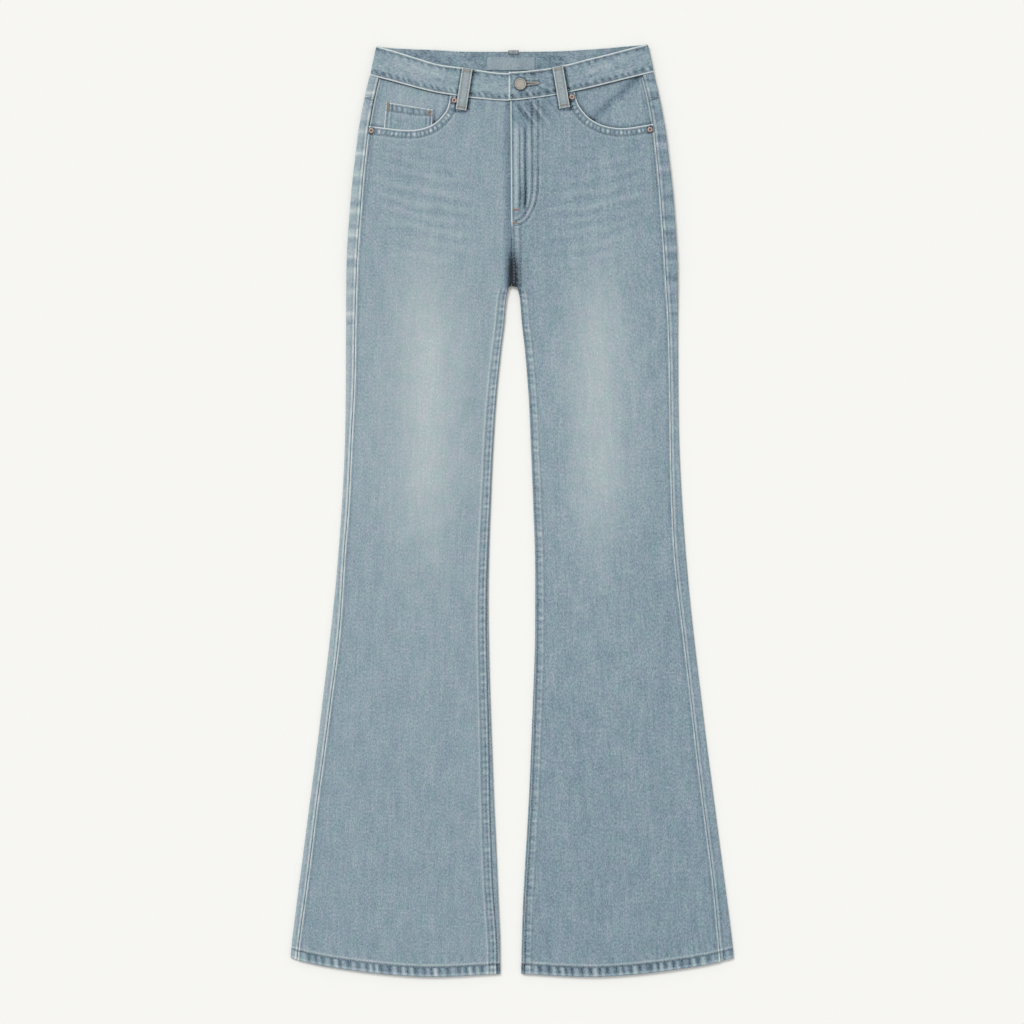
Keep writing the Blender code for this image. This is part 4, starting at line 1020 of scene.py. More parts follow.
def wrappedPanel(label, side, rows, downAt, hasHem, withInner, seed):
    # back piece: over the outer fold, along the floor side, then to its inner border
    sign = side["sign"]
    a, b, c = rows[:, 0:1], rows[:, 1:2], rows[:, 2:3]

    def downOf(across):
        return downAt(a, b, c, across)

    def turnedOf(across, down):
        return turnedIn(side, across, down) if hasHem else 0 * down

    across = sign * outerEdge(0.0) + 0 * a
    for _ in range(3):
        down = downOf(across)
        across = sign * outerEdge(down)
    turned = turnedOf(across, down)
    low, top, _ = heightsAt(down, turned)
    radius = (top - low) / 2
    quarter = radius * math.pi / 2
    border = quarter + curve(outseams, down, side["column"]) - radius
    flatSteps = np.array([0.0, 0.3, 0.8, 1.5, 2.3, 3.2, 4.2])[None, :]
    span = border - quarter
    stripSteps = np.concatenate([flatSteps + 0 * span, blend(flatSteps[0, -1] + 0 * span, span,
                                 np.linspace(0, 1, 5)[None, 1:])], axis=1)
    stripAlong = border - stripSteps
    bendAlong = quarter * np.linspace(1, -1, 9)[None, 1:]
    outAlong = np.concatenate([stripAlong, bendAlong], axis=1)
    outDown = down + 0 * outAlong
    outAcross, _, _ = outerPoint(side, outDown, outAlong, 0.0, turnedOf(0 * outAlong + across, outDown))
    # The end on the top face follows the slope of the waistband seam
    if not hasHem:
        shift = (frontSeam(outAcross) + cloth["gap"] - outDown[0:1]) * a * (outAlong > 0)
        shift = shift * np.clip(outAlong / quarter, 0, 1)
        outDown = outDown + shift
    else:
        # and its foot follows the slope of the hem
        slope = c * (hemDown(side, outAcross) - hemDown(side, outAcross[:, -1:]))
        outDown = outDown + slope * np.clip(outAlong / quarter, 0, 1)
    parts = [("outer", outAcross, outDown, outAlong)]
    inner = None
    if withInner:
        down = downOf(sign * innerEdge(side, cloth["hemAt"]) + 0 * a)
        turned = turnedOf(sign * 20.0 + 0 * down, down)
        low, top, _ = heightsAt(down, turned)
        quarter = (top - low) / 2 * math.pi / 2
        start = np.where(down > cloth["crotch"], curve(inseams, down, side["column"]), 0.0)
        reach = start + quarter + 3.0
        steps = np.concatenate([[0.0, 0.04, 0.1], np.linspace(0.18, 1, 13)])[::-1][None, :]
        along = start - cloth["gap"] / 2 - reach * steps
        along = np.where((steps == 0) & (down <= cloth["crotch"]), 0.0, along)
        lowerDown = down + 0 * along
        for _ in range(3):
            turnedHere = turnedOf(0 * along + sign * 20.0, lowerDown)
            innerAcross, _, _ = innerPoint(side, lowerDown, along, 0.0, False, turnedHere)
            lowerDown = downOf(innerAcross)
        inner = ("inner", innerAcross, lowerDown, along)
        endAcross = innerAcross[:, 0:1]
    else:
        endAcross = cloth["centre"] + sign * cloth["gap"] / 2 + 0 * a
    startAcross = outAcross[:, -1:]
    shares = np.linspace(0, 1, 45)[None, 1:]
    if withInner:
        shares = shares[:, :-1]
    else:
        shares = np.concatenate([shares[:, :-1], [[0.992, 0.997, 1.0]]], axis=1)
    across = blend(startAcross, endAcross, shares)
    parts.append(("flat", across, downOf(across), 0 * across))
    if inner:
        parts.append(inner)
    columns = sum(part[1].shape[1] for part in parts)
    if columns % 2 == 0:
        kind, flatAcross, _, _ = parts[1]
        extra = (flatAcross[:, 3:4] + flatAcross[:, 4:5]) / 2
        flatAcross = np.concatenate([flatAcross[:, :4], extra, flatAcross[:, 4:]], axis=1)
        parts[1] = (kind, flatAcross, downOf(flatAcross), 0 * flatAcross)
    outerGrid, innerGrid, pales, places = [], [], [], []
    last = len(rows) - 1
    for kind, across, down, along in parts:
        turned = turnedOf(across, down)
        _, _, wall = heightsAt(down, turned)
        fromTop, fromFoot = np.abs(down - down[0:1, :]), np.abs(down[last:, :] - down)
        drop = np.maximum(edgeDrop(fromTop), edgeDrop(fromFoot))
        if kind == "outer":
            fromEnd = border - along
            over = along > -0.2
            overLook = backLook(side, across, down, fromEnd, True, hasHem)
            underLook = backLook(side, across, down, 40.0, False, hasHem)
            relief = np.where(over, overLook[0], 0.0)
            pale = np.where(over, overLook[1], underLook[1])
            drop = np.maximum(drop, edgeDrop(fromEnd))
        elif kind == "inner":
            fromEnd = along[:, -1:] - along
            relief, pale = backLook(side, across, down, 40.0, False, hasHem)
            # painted shade in the gap at the inseam, along the end of the back panel, then painted shade in
            # the crotch fold
            pale = pale - 0.10 * bell(fromEnd, 1.2)
            dark = ease((down - 236.0) / 44.0) * (1 - ease((down - 296.0) / 10.0)) * bell(across, 9.0)
            pale = pale - 0.42 * dark
            relief = relief * ease(np.abs(along - along[:, 0:1]) * -0.2 + 0.6)
            drop = np.maximum(drop, edgeDrop(fromEnd))
        else:
            relief, pale = backLook(side, across, down, 40.0, False, hasHem)
            relief = relief * ease(np.abs(across - endAcross) / 8.0)
            if not withInner:
                drop = np.maximum(drop, edgeDrop(np.abs(across - endAcross)))
        rowRelief, rowPale = backSeams(side, across, down, kind, hasHem)
        relief, pale = relief + rowRelief, pale + rowPale
        for grid, depth in ((outerGrid, drop - relief), (innerGrid, wall - 0.8 * relief)):
            if kind == "outer":
                point = outerPoint(side, down, along, depth, turned)
            elif kind == "inner":
                point = innerPoint(side, down, along, depth, False, turned)
            else:
                point = (across, down, heightsAt(down, turned)[0] + depth)
            grid.append(metres(*point))
        pales.append(pale)
        places.append(clothPlace(side, across, down))
    return clothPiece(label, np.concatenate(outerGrid, axis=1), np.concatenate(innerGrid, axis=1),
                      np.concatenate(pales, axis=1), np.concatenate(places, axis=1),
                      (looks["denim"], looks["inside"]), 2, seed)


def backSeams(side, across, down, kind, hasHem):
    # sewn rows on the hidden side: yoke seam and centre seam
    look = np.zeros((2,) + np.shape(across))
    fromYoke = down - yokeSeamDown(across)
    if kind == "outer":
        return look + marks(fromYoke, marksAt["yokeSide" if hasHem else "yokeEnd"])
    if hasHem:
        look = look + marks(fromYoke, marksAt["yoke"])
    if side["sign"] > 0:
        look = look + marks(across, marksAt["riseBack"]) * (1 - ease((down - 280.0) / 12.0))
    return look


def backDown(a, b, c, side, across):
    return a * (yokeSeamDown(across) + cloth["gap"]) + b + c * hemDown(side, across)


def backPanel(side):
    rows = panelRows(187.0, 3.6, 3.0)
    return wrappedPanel("cloth_back_" + side["name"], side, rows,
                        lambda a, b, c, across: backDown(a, b, c, side, across),
                        True, True, 0.5 + 0.13 * side["column"])


def yokePanel(side):
    sideTop = float(frontSeam(side["sign"] * waistHalf["seam"])) + 0.7
    span = 46.0
    foot = [span - 1.5, span - 0.8, span - 0.3, span]
    shares = evenCount(np.concatenate([offsets(0.0, 1.9, span - 3.0), foot]))
    shares = shares / span
    rows = np.array([(1 - share, share, 0.0) for share in shares])

    def downAt(a, b, c, across):
        seam = curve(waist, np.asarray(across) / waistHalf["seam"], 3)
        seam = backBandSeam(np.asarray(across) / waistHalf["seam"])
        top = np.where(np.abs(across) > waistHalf["seam"] - 2, sideTop, seam)
        return a * (top + cloth["gap"]) + b * yokeSeamDown(across)

    return wrappedPanel("cloth_yoke_" + side["name"], side, rows, downAt, False, False,
                        0.9 + 0.17 * side["column"])


pieces = {}
for side in sides.values():
    pieces["front_" + side["name"]] = frontPanel(side)
    pieces["back_" + side["name"]] = backPanel(side)
    pieces["yoke_" + side["name"]] = yokePanel(side)
print("stage: panels made")

# Waistband

band = {
    "low": 1.5, "high": 7.1, "underEnd": 0.16, "overEnd": -0.024, "frontSteps": 150, "backSteps": 170,
    "foldShare": 0.969,
}
# across, down, tilt, strength of the soft marks where the band was pulled by the button
bandTucks = [
    (22, 60, 0.9, 0.8), (31, 55, 0.8, 0.6), (40, 52, 0.3, 0.5), (-14, 48, -0.2, 0.5), (-32, 54, 0.1, 0.5),
    (16, 38, 1.2, 0.5), (-92, 38, 0.2, 0.6), (96, 34, -0.3, 0.6), (-128, 30, 0.5, 0.4), (132, 22, -0.5, 0.4),
]


def bandLift(share, isOver):
    if isOver:
        return 1.7 * (1 - ease((share - 0.10) / 0.16))
    return -0.8 * ease((share + 0.26) / 0.16)


def bandStations():
    # stations along the band: share, face, bend or None, lift, shorten
    flatEnd = 1 - (band["high"] - band["low"]) / 2 / waistHalf["top"]
    stations = []

    def addRun(first, last, steps, face, isOver, isFront, endAtStart, endAtLast):
        shares = list(np.linspace(first, last, steps + 1))
        step = (last - first) / steps
        fine = [0.0, 0.12, 0.35, 0.65]
        if endAtStart:
            shares = [first + step * f for f in fine] + shares[1:]
        if endAtLast:
            shares = shares[:-1] + [last - step * f for f in reversed(fine)]
        for share in shares:
            lift = float(bandLift(share, isOver)) if isFront else 0.0
            shorten = float(ease((share + 0.3) / 0.2)) if isFront and not isOver else 0.0
            stations.append((share, face, None, lift, shorten))

    addRun(band["underEnd"], -flatEnd, band["frontSteps"], 1, False, True, True, False)
    for angle in np.linspace(75, -75, 9):
        stations.append((-1.0, 1, math.radians(angle), 0.0, 0.0))
    addRun(-flatEnd, flatEnd, band["backSteps"], -1, False, False, False, False)
    for angle in np.linspace(-75, 75, 9):
        stations.append((1.0, 1, math.radians(angle), 0.0, 0.0))
    addRun(flatEnd, band["overEnd"], band["frontSteps"], 1, True, True, False, True)
    return stations


def bandSection():
    # points round the band: rise, through, and which face each one is on
    fold = band["foldShare"]
    rises = np.concatenate([[0.004, 0.012, 0.026, 0.045, 0.066], np.linspace(0.1, 0.88, 22),
                            [0.91, 0.93, 0.945, fold]])
    section = [(rise, 0.0, "outer") for rise in rises]
    for angle in np.linspace(0, math.pi, 8)[1:-1]:
        section.append((fold + (1 - fold) * math.sin(angle), 0.5 - 0.5 * math.cos(angle), "fold"))
    inner = np.concatenate([[fold, 0.93, 0.88], np.linspace(0.8, 0.12, 13), [0.06, 0.02, 0.004]])
    section += [(rise, 1.0, "inner") for rise in inner]
    section += [(0.0, 0.86, "seam"), (0.0, 0.5, "seam"), (0.0, 0.14, "seam")]
    return section


def bandLook(face, bend, rise, inside, across, down):
    # relief and wash round one station of the waistband, with the painted shadows of the front loops on its
    # front
    onFront = face > 0
    at = across * (1 if onFront else 1.03)
    height, fromTop = rise * 35.0, (1 - rise) * 35.0
    mark = wander(at + 3.0 * rise, 23.0, 3.0 + face) * wander(height * 2.2, 31.0, 1.0 + at * 0.01)
    look = np.stack([0.16 * mark, 0.600 + 0.10 * mark])
    if onFront and bend is None:
        for tuckAcross, tuckDown, tilt, strength in bandTucks:
            off = (down - tuckDown) - tilt * (across - tuckAcross)
            line = bell(off, 2.3) - 0.6 * bell(off - 5.0, 3.0)
            look = look + np.multiply.outer((0.38, 0.14), strength * bell(across - tuckAcross, 11.0) * line)
    if inside:
        blotch = wander(at, 19.0, 9.0) * wander(height, 17.0, 4.0 + 0.02 * at)
        nearLoop = bell(at - 1.8, 12.0) * bell(fromTop - 8.0, 7.0) * wander(at * 1.3 + height, 9.0, 3.0)
        shade = 0.11 * blotch + 0.07 * nearLoop + 0.05 * bell(height - 3.0, 2.0)
        look = look + np.stack([0.15 * blotch, shade])
        return look + marks(fromTop, marksAt["bandInside"])
    near = bell(height - 5.2, 2.6)
    look = look + pinched((0.36, 0.50), puckers(at + 0.5 * height, 8.2, 2.0 + face), 0.72) * near
    below = bell(fromTop - 5.0, 2.4)
    look = look + pinched((0.30, 0.34), puckers(at - 0.4 * fromTop, 9.4, 6.0 + face), 0.72) * below
    look = look + marks(fromTop, marksAt["bandTop"]) + marks(height, marksAt["bandSeam"])
    if onFront:
        place = [(buttonPlace["across"], buttonPlace["down"])]
        # painted shadows that the front loops cast on the band
        look[1] += np.where(across < 0, 0.035, -0.005) + loopShadows(across, down)
        crumple = wander(at + 0.8 * height, 11.0, 5.0) * wander(height - 0.4 * at, 13.0, 2.0)
        near = bell(across - 34.0, 16.0) * bell(down - 48.0, 14.0)
        look = look + np.stack([0.5 * crumple, 0.30 * crumple - 0.15]) * near
        look[1] += 0.36 * besideMetal(across, down, place, buttonPlace["radius"] + 0.8)
    return look


def waistband():
    radius = (band["high"] - band["low"]) / 2
    middle = (band["high"] + band["low"]) / 2
    section = bandSection()
    stations = bandStations()
    rise = np.array([point[0] for point in section])
    through = np.array([point[1] for point in section])
    isInner = np.array([point[2] == "inner" for point in section])
    grid, pales, places = [], [], []
    run = 0.0
    lastAcross = None
    for index, (share, face, bend, lift, shorten) in enumerate(stations):
        seam = curve(waist, share, 2) if face > 0 or bend is not None else backBandSeam(share)
        topDown = curve(waist, share, 1) + shorten if face > 0 else curve(waist, share, 3)
        half = blend(waistHalf["seam"], waistHalf["top"], rise)
        across = share * half
        down = blend(seam, topDown, rise)
        fromEnd = min(abs(share - band["underEnd"]), 9.0) if index < 99 else abs(share - band["overEnd"])
        if index > len(stations) // 2 and face < 0:
            fromEnd = 9.0
        isEnd = index < 8 or index > len(stations) - 9
        relief, pale = np.where(isInner, bandLook(face, bend, rise, True, across, down),
                                bandLook(face, bend, rise, False, across, down))
        if isEnd:
            endMarks = marks(np.float64(fromEnd * 165.0), marksAt["bandEnd"])
            relief, pale = relief + endMarks[0], pale + endMarks[1]
        if face > 0 and bend is None and share > -0.05 and index > len(stations) // 2:
            pale, relief = buttonhole(across, down, pale, relief)
        thick = 0.5 + (through - 0.5) * (1 - (0.34 * (1 - min(1.0, fromEnd * 165.0 / 0.5)) if isEnd else 0.0))
        raised = np.where(isInner, relief, -relief) * np.where((through > 0) & (through < 1), 0.0, 1.0)
        depth = thick * cloth["bandWall"] + raised
        if bend is None:
            height = middle + face * (radius - depth) + lift
        else:
            sign = math.copysign(1.0, share)
            across = sign * (half - radius + (radius - depth) * math.cos(bend))
            height = middle + (radius - depth) * math.sin(bend)
        grid.append(metres(across, down, height))
        pales.append(pale)
        centre = float(across[len(across) // 4])
        run += 0.0 if lastAcross is None else abs(centre - lastAcross)
        lastAcross = centre
        places.append(np.stack([rise * 35.0 + 50 * through, run + 0 * rise, 0 * rise], axis=-1) * 0.001)
    grid, pales, places = np.array(grid), np.array(pales), np.array(places)
    rings, count = grid.shape[:2]
    faces, faceLooks = [], []
    for i in range(rings - 1):
        for j in range(count):
            k = (j + 1) % count
            faces.append((i * count + j, i * count + k, (i + 1) * count + k, (i + 1) * count + j))
            faceLooks.append(1 if isInner[j] and isInner[k] else 0)
    for ring in (0, rings - 1):
        faces.append(tuple(ring * count + j for j in range(count)))
        faceLooks.append(0)
    piece = newPiece("cloth_waistband", grid.reshape(-1, 3), faces, (looks["band"], looks["bandInside"]),
                     faceLooks)
    storeLook(piece, pales, places.reshape(-1, 3) + 1.7)
    return piece


def holeHalf(at):
    # half width of the buttonhole, from the button to its tip
    return blend(2.2, 0.7, np.clip(at, 0.0, 1.0))


def buttonhole(across, down, pale, relief):
    # a slit from the button to its tip, in a ring of close stitches; the slit is painted shade
    at = (across - buttonPlace["across"]) / (buttonPlace["tip"] - buttonPlace["across"])
    line = blend(buttonPlace["down"], buttonPlace["tipDown"], at)
    inside = ease((across - 2.0) / 2.0) * (1 - ease((across - buttonPlace["tip"] + 2.0) / 2.5))
    beside = np.abs(down - line) - holeHalf(at)
    pale = pale - (0.55 * bell(down - line, 0.8) + 0.34 * bell(beside - 1.7, 0.9)) * inside
    relief = relief - 0.5 * bell(down - line, 0.8) * inside + 0.3 * bell(beside, 1.0) * inside
    drag = bell(across - 38.0, 5.0) * bell(down - 50.0 + 0.6 * (across - 38.0), 2.4)
    return pale + 0.05 * drag, relief + 0.3 * drag


pieces["waistband"] = waistband()
print("stage: waistband made")

# Belt loops, facings and pockets

loop = {
    "wall": 1.2, "width": 12.6, "length": 50.0, "tab": 2.0, "bow": 0.5, "rows": 61, "columns": 23,
    "sewnAt": 3.9, "tacks": (3.6, 46.0),
}
backLoops = {"right": -101.0, "left": 101.0}
centreLoop = 1.8


def stripCloth(name, path, slope, seed, tacks, worn=1.0, base=0.60):
    # belt loop along a centre line of (across, down, height) points
    path = np.array(path, dtype=float)
    lengths = np.concatenate([[0.0], np.cumsum(np.linalg.norm(np.diff(path, axis=0), axis=1))])
    total = lengths[-1]
    at = np.concatenate([[0.0, 0.3, 0.8], np.linspace(1.5, total - 1.5, loop["rows"] - 6),
                         [total - 0.8, total - 0.3, total]])
    line = np.column_stack([np.interp(at, lengths, path[:, k]) for k in range(3)])
    run, rise = np.gradient(line[:, 1], at), np.gradient(line[:, 2], at)
    size = np.hypot(run, rise)
    half = loop["width"] / 2
    middle = np.linspace(-half + 1.4, half - 1.4, loop["columns"] - 6)
    wide = np.concatenate([[-half, -half + 0.3, -half + 0.8], middle, [half - 0.8, half - 0.3, half]])
    w, s = wide[None, :], at[:, None]
    fromSide = half - np.abs(w)
    fromEnd = np.minimum(s, total - s)
    pinch = puckers(s + 1.5 * np.sign(w), 3.4, seed)
    relief, pale = marks(fromSide, marksAt["loopEdge"]) * worn
    relief = relief + 0.16 * bell(w, 3.2) + 0.10 * bell(fromSide - 1.2, 1.0) * (pinch - 0.4)
    pale = pale * (0.8 + 0.25 * wander(s, 13.0, seed)) + base
    pale = pale + 0.07 * (pinch - 0.5) * bell(fromSide - 1.2, 1.0)
    pale = pale + 0.05 * bell(w, 1.4) * (puckers(s, 2.6, seed + 1) - 0.3) + 0.16 * worn * bell(fromEnd, 0.9)
    for tack in tacks:
        relief = relief + 0.22 * bell(s - tack, 1.2)
        pale = pale - 0.22 * bell(np.abs(s - tack) - 1.9, 0.7) + 0.04 * bell(s - tack, 1.0)
    drop = np.maximum(edgeDrop(fromSide), edgeDrop(fromEnd))
    grids = []
    for depth in (loop["wall"] / 2 - drop + relief, -loop["wall"] / 2 + drop):
        offDown, offHeight = -rise / size, run / size
        down = line[:, 1:2] + slope * w + offDown[:, None] * depth
        height = line[:, 2:3] + offHeight[:, None] * depth
        grids.append(metres(line[:, 0:1] + w + 0 * s, down, height))
    place = np.stack([w + 0 * s, s + 0 * w, 0 * s + 0 * w], axis=-1) * 0.001
    return clothPiece(name, grids[0], grids[1], pale + 0 * w, place, (looks["loop"], looks["loop"]), 1, seed)


def frontLoopPath(side):
    across, run = frontLoops[side["name"]]
    start = float(curve(waist, across / waistHalf["top"], 1))
    seamPlace = float(frontSeam(across + run * 0.7)) - start
    onBand = band["high"] + cloth["gap"] + loop["wall"] / 2
    places = np.linspace(0, loop["length"], 101)
    heights = onBand + loop["bow"] * np.sin(math.pi * np.minimum(1.0, places / seamPlace))
    drop = np.interp(places, [seamPlace + 6, loop["length"] - loop["tab"]], [0.0, cloth["bandProud"]])
    return np.column_stack([across + run * places / loop["length"], start + places, heights - drop]), run


def backLoopPath(across, turnOver):
    start = float(curve(waist, across / waistHalf["top"], 3))
    floorSide = loop["wall"] / 2
    ring = cloth["bandWall"] / 2 + cloth["gap"] + loop["wall"] / 2
    middle = band["low"] + cloth["bandWall"] / 2
    path = []
    if turnOver:
        path += [(across, start + 4.0, middle + ring), (across, start + 1.6, middle + ring)]
        for angle in np.linspace(80, -80, 13):
            turn = math.radians(angle)
            path.append((across, start + 1.1 - ring * math.cos(turn), middle + ring * math.sin(turn)))
        path.append((across, start + 1.6, floorSide))
    else:
        path.append((across, start + 0.3, floorSide))
    path += [(across, start + 20.0, floorSide), (across, start + 38.0, floorSide)]
    path += [(across, start + loop["length"] - 6.0, floorSide + 0.3),
             (across, start + loop["length"], floorSide + 0.4)]
    return path


for side in sides.values():
    path, run = frontLoopPath(side)
    label = "loop_front_" + side["name"]
    pieces[label] = stripCloth("cloth_" + label, path, -run / loop["length"],
                               2.0 + side["column"], loop["tacks"])
    label = "loop_back_" + side["name"]
    pieces[label] = stripCloth("cloth_" + label, backLoopPath(backLoops[side["name"]], False), 0.0,
                               4.0 + side["column"], loop["tacks"])
pieces["loop_back_centre"] = stripCloth("cloth_loop_back_centre", backLoopPath(centreLoop, True), 0.0, 7.0,
                                        (3.2, 52.0), -0.5, 0.37)
print("stage: belt loops made")


def flatCloth(name, across, down, low, high, pale, relief, faceUp, looksOf, seed, grainTurned=False):
    # flat cut piece over a grid of places, with its relief on the face that shows
    edges = []
    for index in (0, -1):
        edges.append(np.hypot(across - across[index][None, :], down - down[index][None, :]))
        edges.append(np.hypot(across - across[:, index][:, None], down - down[:, index][:, None]))
    drop = np.maximum.reduce([edgeDrop(edge) for edge in edges])
    if faceUp:
        heights = (high - drop + relief, low + 0.5 * drop)
    else:
        heights = (low + drop - relief, high - 0.5 * drop)
    grids = [metres(across, down, height + 0 * across) for height in heights]
    first, second = (down, across) if grainTurned else (across, down)
    place = np.stack([first, second, 0 * across], axis=-1) * 0.001
    return clothPiece(name, grids[0], grids[1], pale + 0 * across, place, looksOf, 2, seed)


def edgeSpread(count, size):
    # shares from 0 to 1 with fine steps at both ends, an odd number of them
    fine = np.array([0.3, 0.8, 1.5, 2.4]) / size
    inner = np.linspace(0, 1, count)
    inner = inner[(inner > fine[-1] + 0.01) & (inner < 1 - fine[-1] - 0.01)]
    return evenCount(np.concatenate([[0.0], fine, inner, (1 - fine)[::-1], [1.0]]))


facing = {"low": 3.4, "high": 4.4, "underlap": 17.0}


def pocketFacing(side):
    name, sign = side["name"], side["sign"]
    opening = openings[name]
    innerEnd = opening[0][0] - sign * 14.0
    u = edgeSpread(64, 100.0)[None, :]
    v = edgeSpread(44, 60.0)[:, None]
    foot = [(innerEnd, opening[1][1] + 10.0), (opening[2][0] - sign * 12.0, opening[2][1] + 12.0),
            (opening[4][0], opening[4][1] + facing["underlap"]),
            (opening[6][0], opening[6][1] + facing["underlap"]),
            (sign * 190.0, openingEnd[name] + facing["underlap"])]
    foot = sorted(foot)
    across = blend(innerEnd, sign * 170.0, u) + 0 * v
    for _ in range(3):
        top = frontSeam(across) + cloth["gap"] + 0.2
        bottom = np.interp(across, [p[0] for p in foot], [p[1] for p in foot])
        down = blend(top, bottom, v)
        across = blend(innerEnd, sign * (outseamEdge(side, down) - 0.6), u)
    off, _ = offCurve(openingCurves[name], across, down)
    out = sign * across
    soft = wander(across + 0.5 * down, 44.0, side["column"] * 3.0)
    pale = 0.60 + 0.03 * soft
    relief = 0.25 * soft + 0.15 * wander(down * 1.4 - across * 0.4, 33.0, 5.0)
    fromSeam = outseamEdge(side, down) - out
    # painted shadow along the opening under the front panel's edge, and painted shadow under the waistband
    pale = pale - 0.30 * bell(off - 0.6, 2.4) - 0.12 * bell(down - frontSeam(across), 3.0)
    pale = pale + marks(fromSeam, marksAt["sewnSeam"])[1] + 0.42 * bell(fromSeam - 1.0, 1.1)
    if sign > 0:
        # the wearer's left facing has a slanting shade, as the cloth under it dips
        slant = bell(across - 118.0 + 1.1 * (down - 70.0), 8.0)
        pale = pale - 0.24 * slant - 0.02
        relief = relief - 0.3 * slant
    else:
        # painted shadow that the coin pocket casts beside its right edge
        pale = pale + 0.045 - 0.42 * bell(across + 93.6, 1.7) * bell(down - 93.0, 14.0)
    return flatCloth("cloth_facing_" + name, across, down, facing["low"], facing["high"], pale, relief * 0.5,
                     True, (looks["denim"], looks["inside"]), 2.1 + 0.1 * side["column"])


coin = {"low": 4.7, "high": 5.6}


def coinPocket():
    # across, down of the two sides of the pocket, from the top to the foot
    leftSide = np.array([(-151.0, 69.6), (-154.6, 109.5)])
    rightSide = np.array([(-95.2, 78.6), (-96.4, 110.0)])
    u = edgeSpread(48, 56.0)[None, :]
    v = edgeSpread(34, 38.0)[:, None]
    across = blend(blend(leftSide[0, 0], leftSide[1, 0], v), blend(rightSide[0, 0], rightSide[1, 0], v), u)
    down = blend(blend(leftSide[0, 1], leftSide[1, 1], v), blend(rightSide[0, 1], rightSide[1, 1], v), u)
    down = down + 2.6 * v * np.sin(np.clip(u, 0, 1) * math.pi)
    fromTop = v * 38.0 + 0 * u
    fromLeft, fromRight = u * 57.0 + 0 * v, (1 - u) * 57.0 + 0 * v
    pinch = puckers(across, 6.4, 3.0)
    look = pinched((0.32, 0.44), pinch) * bell(fromTop - 5.8, 2.5) + marks(fromTop, marksAt["coinTop"])
    for edge in (fromLeft, fromRight):
        look = look + marks(edge, marksAt["coinSide"])
        look[1] += 0.09 * bell(edge - 5.5, 1.6) * puckers(down, 5.4, 6.0)
    relief, pale = look
    pale = pale + 0.60 + 0.04 * wander(across * 0.8 + down, 21.0, 2.0)
    return flatCloth("cloth_coin_pocket", across, down, coin["low"], coin["high"], pale, relief, True,
                     (looks["denim"], looks["inside"]), 2.6)


patch = {"low": 0.0, "high": 1.6}
patchOutline = {"topIn": (32.0, 124.0), "topOut": (160.0, 114.0), "footIn": (40.0, 238.0),
                "point": (95.0, 262.0), "footOut": (155.0, 232.0)}


def patchPlace(u, v):
    # place on the back patch pocket of the wearer's left, from its top (v 0) to its foot (v 1)
    top = [blend(patchOutline["topIn"][k], patchOutline["topOut"][k], u) for k in (0, 1)]
    share = (patchOutline["point"][0] - patchOutline["footIn"][0]) / 115.0
    at = [0.0, share, 1.0]
    feet = [patchOutline[key] for key in ("footIn", "point", "footOut")]
    foot = [np.interp(u, at, [place[k] for place in feet]) for k in (0, 1)]
    return blend(top[0], foot[0], v), blend(top[1], foot[1], v)


def backPocket(side):
    u = edgeSpread(50, 120.0)[None, :]
    v = edgeSpread(50, 130.0)[:, None]
    across, down = patchPlace(u, v)
    depth = blend(114.0, 118.0, u)
    fromTop, fromFoot = v * depth, (1 - v) * depth
    fromSide = np.minimum(u, 1 - u) * 121.0 + 0 * v
    edge = np.minimum(fromSide, fromFoot)
    relief, pale = (marks(edge, marksAt["patchEdge"]) + marks(fromTop, marksAt["patchTop"])
                    + pinched((0.0, 0.10), puckers(down + across * 0.4, 8.0, 3.0)) * bell(edge - 5.2, 2.2))
    relief = relief - 0.05 * (1 - bell(edge - 5.0, 3.0))
    pale = pale + 0.63 + 0.05 * bell(u - 0.5, 0.34) * bell(v - 0.55, 0.3)
    return flatCloth("cloth_pocket_back_" + side["name"], side["sign"] * across, down, patch["low"],
                     patch["high"], pale, relief, False, (looks["denim"], looks["inside"]),
                     3.0 + 0.1 * side["column"])


for side in sides.values():
    pieces["facing_" + side["name"]] = pocketFacing(side)
    pieces["pocket_back_" + side["name"]] = backPocket(side)
pieces["coin_pocket"] = coinPocket()
print("stage: pockets made")

# Fly shield, zip and label inside the waist

shield = {"low": 3.4, "high": 4.4}
zipForm = {"first": 83.0, "last": 208.0, "inner": 3.1, "outer": 21.0, "low": 5.7, "high": 6.3,
           "middle": 9.0, "pitch": 2.3, "teethHeight": 5.45}


def flyShield():
    u = edgeSpread(20, 40.0)[None, :]
    v = edgeSpread(60, 145.0)[:, None]
    outer = np.interp(v, [0, 0.86, 1.0], [27.0, 27.0, 15.0])
    across = blend(-13.0, outer, u)
    top = blend(71.0, 68.5, u)
    foot = blend(220.0, 214.0, u)
    down = blend(top, foot, v)
    fromEdge = np.minimum(u * 40.0, (1 - u) * 40.0) + 0 * v
    pale = 0.56 - 0.07 * bell(fromEdge - 2.4, 0.9) + 0.1 * bell(fromEdge, 1.0)
    pale = pale + 0.02 * wander(down, 40.0, 1.0)
    relief = 0.1 * wander(down, 30.0, 2.0) * bell(u - 0.5, 0.3)
    return flatCloth("cloth_fly_shield", across, down, shield["low"], shield["high"], pale, relief, True,
                     (looks["denim"], looks["inside"]), 3.4)


def zipTape():
    u = edgeSpread(12, 18.0)[None, :]
    v = edgeSpread(70, 125.0)[:, None]
    across = blend(zipForm["inner"], zipForm["outer"], u) + 0 * v
    down = blend(zipForm["first"], zipForm["last"], v) + 0 * u
    ribs = 0.5 + 0.5 * np.cos(2 * math.pi * across / 1.6)
    pale = 0.30 + 0.05 * ribs
    relief = 0.08 * ribs - 0.35 * bell(across - zipForm["middle"], 0.7)
    return flatCloth("cloth_zip_tape", across, down, zipForm["low"], zipForm["high"], pale, relief * 0.6,
                     True, (looks["tape"], looks["tape"]), 3.6)


waistLabel = {"left": -30.0, "right": 27.6, "top": 15.6, "foot": 31.4, "low": 4.0, "high": 4.8}


